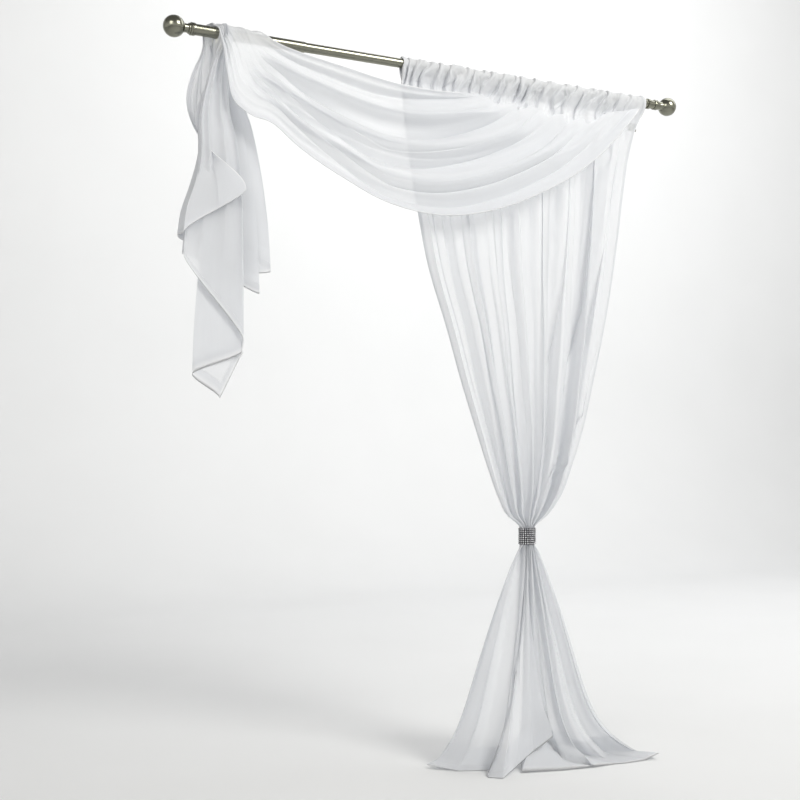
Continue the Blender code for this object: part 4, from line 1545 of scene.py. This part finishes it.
@dataclass
class NickelRod:
    """Telescopic rod with its finials, collars and brackets, turned finer than the frame's solids."""

    tube_wall: float = 0.0012
    steps: int = 72
    chamfer: float = 0.0004
    ball_steps: int = 36

    def turned(
        self,
        name: str,
        node: str,
        profile: list[tuple[float, float]],
        start: float,
        finish: bpy.types.Material,
    ) -> None:
        """Makes a piece turned round the rod's axis.

        Args:
            name: the piece's name.
            node: the frame's node that it replaces.
            profile: radius and distance along the rod, a closed outline or one that ends on the axis.
            start: where distance 0 is along the rod.
            finish: its finish.
        """
        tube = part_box("rod_outer")
        rod = (tube[0] + tube[1]) / 2
        shape = bmesh.new()
        verts = [shape.verts.new((along, 0.0, radius)) for radius, along in profile]
        for first, second in zip(verts, verts[1:]):
            shape.edges.new((first, second))
        if profile[0][0] > 0:
            shape.edges.new((verts[-1], verts[0]))
        bmesh.ops.spin(
            shape,
            geom=shape.verts[:] + shape.edges[:],
            cent=(0.0, 0.0, 0.0),
            axis=(1.0, 0.0, 0.0),
            angle=FULL_TURN,
            steps=self.steps,
            use_merge=True,
        )
        bmesh.ops.remove_doubles(shape, verts=shape.verts, dist=1e-6)
        bmesh.ops.recalc_face_normals(shape, faces=shape.faces)
        bmesh.ops.translate(shape, vec=(start, rod.y, rod.z), verts=shape.verts)
        piece = add_piece(name, mesh_from(shape, name), [finish], "satin_nickel")
        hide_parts(node)

    def tube_profile(self, radius: float, length: float) -> list[tuple[float, float]]:
        """Closed outline of an open tube with its rims chamfered."""
        inner, rim = radius - self.tube_wall, self.chamfer
        return [
            (inner, 0.0),
            (radius - rim, 0.0),
            (radius, rim),
            (radius, length - rim),
            (radius - rim, length),
            (inner, length),
        ]

    def finial_profile(self, side: Side, ball_radius: float, plug_radius: float) -> list[tuple[float, float]]:
        """Outline of ball, neck, shoulder and plug, from the ball's far pole to the plug's end."""
        neck, shoulder, flare = 0.0125, 0.0155, 1.15
        meets_neck = math.pi - math.asin(neck / ball_radius) * flare
        turns = [meets_neck * k / self.ball_steps for k in range(1, self.ball_steps + 1)]
        ball = [(0.0, ball_radius)]
        ball += [(ball_radius * math.sin(turn), ball_radius * math.cos(turn)) for turn in turns]
        rest = [
            (neck, -0.0335),
            (neck, -0.0397),
            (neck + 0.0006, -0.0404),
            (shoulder - 0.0006, -0.0408),
            (shoulder, -0.0415),
            (shoulder, -0.0462),
            (plug_radius, -0.0462),
            (plug_radius, -0.0680),
            (0.0, -0.0680),
        ]
        way = -1.0 if side is Side.LEFT else 1.0
        return [(radius, way * along) for radius, along in ball + rest]

    def collar_profile(self, inner: float, outer: float, width: float) -> list[tuple[float, float]]:
        """Closed outline of a rounded ring with a groove round its middle."""
        return [
            (inner, 0.0),
            (outer - 0.0009, 0.0),
            (outer - 0.0003, 0.0003),
            (outer, 0.0011),
            (outer, width * 0.41),
            (outer - 0.0007, width * 0.46),
            (outer - 0.0010, width * 0.50),
            (outer - 0.0007, width * 0.54),
            (outer, width * 0.59),
            (outer, width - 0.0011),
            (outer - 0.0003, width - 0.0003),
            (outer - 0.0009, width),
            (inner, width),
        ]

    def build(
        self, drawn: bpy.types.Material, turned: bpy.types.Material, stamped: bpy.types.Material
    ) -> None:
        """Makes the tubes, finials and collars, and dresses the brackets.

        Args:
            drawn: finish of the tubes, with lines along them.
            turned: finish of what was turned, with lines round it.
            stamped: finish of the brackets.
        """
        for node in ("rod_outer", "rod_inner"):
            low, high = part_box(node)
            profile = self.tube_profile((high.z - low.z) / 2, high.x - low.x)
            self.turned(f"{node}_tube", node, profile, low.x, drawn)
        for side, node in ((Side.LEFT, "rod_outer"), (Side.RIGHT, "rod_inner")):
            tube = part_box(node)
            tube_radius = (tube[1].z - tube[0].z) / 2
            low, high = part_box(f"finial_{side.value}")
            ball_radius = (high.z - low.z) / 2
            centre = low.x + ball_radius if side is Side.LEFT else high.x - ball_radius
            profile = self.finial_profile(side, ball_radius, tube_radius - self.tube_wall - GAP)
            self.turned(f"finial_{side.value}_ball", f"finial_{side.value}", profile, centre, turned)
            low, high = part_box(f"collar_{side.value}")
            profile = self.collar_profile(tube_radius + GAP, (high.z - low.z) / 2, high.x - low.x)
            self.turned(f"collar_{side.value}_ring", f"collar_{side.value}", profile, low.x, turned)
        for node in ("wall_plate_left", "wall_plate_right", "bracket_arm_left", "bracket_arm_right"):
            dressed = bpy.data.objects[node]
            dressed.data.materials.clear()
            dressed.data.materials.append(stamped)


@dataclass
class Studio:
    """Seamless pale floor and backdrop, soft lights and the camera at the photograph's angle."""

    camera_place: tuple[float, float, float] = (-1.10215, -3.35738, -1.175)
    yaw: float = -26.95
    pitch: float = 2.447
    lens_mm: float = 54.0
    sensor_mm: float = 36.0
    bend_steps: int = 16
    under_cloth: float = 0.0005

    def camera(self) -> None:
        """Makes the camera, solved on the photograph's two finials."""
        yaw, pitch = math.radians(self.yaw), math.radians(self.pitch)
        level = math.cos(pitch)
        ahead = Vector((-math.sin(yaw) * level, math.cos(yaw) * level, math.sin(pitch)))
        lens = bpy.data.cameras.new("camera")
        lens.lens, lens.sensor_width = self.lens_mm, self.sensor_mm
        made = bpy.data.objects.new("camera", lens)
        made.location = self.camera_place
        made.rotation_euler = ahead.to_track_quat("-Z", "Y").to_euler()
        bpy.context.scene.collection.objects.link(made)
        bpy.context.scene.camera = made

    def backdrop(self, paper: bpy.types.Material) -> None:
        """Makes one sheet of paper that is the floor and turns up behind the curtain.

        Args:
            paper: the sheet's finish.
        """
        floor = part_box("curtain_panel")[0].z - self.under_cloth
        front, back, radius, height, half_width = -9.0, 5.8, 1.8, 7.5, 10.0
        sheet = bmesh.new()
        outline = [(front, 0.0), (back - radius, 0.0)]
        turns = [k / self.bend_steps * math.pi / 2 for k in range(1, self.bend_steps + 1)]
        outline += [
            (back - radius + radius * math.sin(turn), radius - radius * math.cos(turn)) for turn in turns
        ]
        outline.append((back, height))
        verts = [sheet.verts.new((-half_width, y, floor + z)) for y, z in outline]
        edges = [sheet.edges.new(pair) for pair in zip(verts, verts[1:])]
        drawn = bmesh.ops.extrude_edge_only(sheet, edges=edges)
        moved = [item for item in drawn["geom"] if isinstance(item, bmesh.types.BMVert)]
        bmesh.ops.translate(sheet, vec=(2 * half_width, 0.0, 0.0), verts=moved)
        add_piece("studio_backdrop", mesh_from(sheet, "backdrop"), [paper], None)

    def area(self, name: str, place: Vector, aim: Vector, size: float, watts: float, warm: str) -> None:
        """Makes one soft light.

        Args:
            name: the light's name.
            place: where it stands.
            aim: what it points at.
            size: its width.
            watts: its power.
            warm: its colour.
        """
        lamp = bpy.data.lights.new(name, "AREA")
        lamp.shape = "SQUARE"
        lamp.size = size
        lamp.energy = watts
        lamp.color = linear(warm)[:3]
        made = bpy.data.objects.new(name, lamp)
        made.location = place
        made.rotation_euler = (aim - place).to_track_quat("-Z", "Y").to_euler()
        bpy.context.scene.collection.objects.link(made)

    def lights(self) -> None:
        """Makes the world's soft light and the lamps."""
        world = bpy.data.worlds.new("studio_light")
        bpy.context.scene.world = world
        world.use_nodes = True
        tree = world.node_tree
        sky = tree.nodes["Background"]
        sky.inputs["Color"].default_value = linear(STUDIO_WHITE)
        toward = add_node(tree, "ShaderNodeTexCoord").outputs["Generated"]
        upward = add_node(tree, "ShaderNodeSeparateXYZ", Vector=toward).outputs["Z"]
        # The strength is 0.80 up to the horizon and falls to 0.24 overhead, so that folds keep their shade
        brightness = {1: 0.04, 2: 0.60, 3: 0.80, 4: 0.24}
        dimmed = add_node(tree, "ShaderNodeMapRange", brightness, Value=upward)
        tree.links.new(dimmed.outputs[0], sky.inputs["Strength"])
        middle, tail = Vector((0.7, -0.1, -0.6)), Vector((0.1, -0.1, -0.5))
        wall = Vector((4.6, 5.8, -0.6))
        self.area("key", Vector((2.9, -4.7, 2.8)), middle, 2.6, 250.0, "FFFDF8")
        self.area("fill", Vector((-2.6, -2.6, 1.2)), tail, 1.8, 42.0, "FFFCF7")
        self.area("backdrop_light", Vector((4.4, 1.2, 3.4)), wall, 5.5, 250.0, "FFFFFF")
        bpy.context.scene.view_settings.view_transform = "Standard"


def main() -> None:
    """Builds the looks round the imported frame."""
    logging.basicConfig(level=logging.INFO, format="%(message)s")
    for old in list(bpy.data.objects):
        bpy.data.objects.remove(old, do_unlink=True)
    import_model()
    studio = Studio()
    studio.camera()
    voile, thread = Voile().material(), PolyesterThread().material()
    nickel = SatinNickel()
    GatheredPanel().build(voile, thread)
    DrapedScarf().build(voile, thread)
    StoneBand().build(FoiledGlass().material(), SilverCup().material(), ElasticWeb().material())
    NickelRod().build(
        nickel.material("satin_nickel_drawn", (0.02, 1.0, 1.0)),
        nickel.material("satin_nickel_turned", (1.0, 0.05, 0.05)),
        nickel.material("satin_nickel_stamped", (0.6, 0.6, 0.2)),
    )
    studio.backdrop(MattPaper().material())
    studio.lights()


if __name__ == "__main__":
    main()
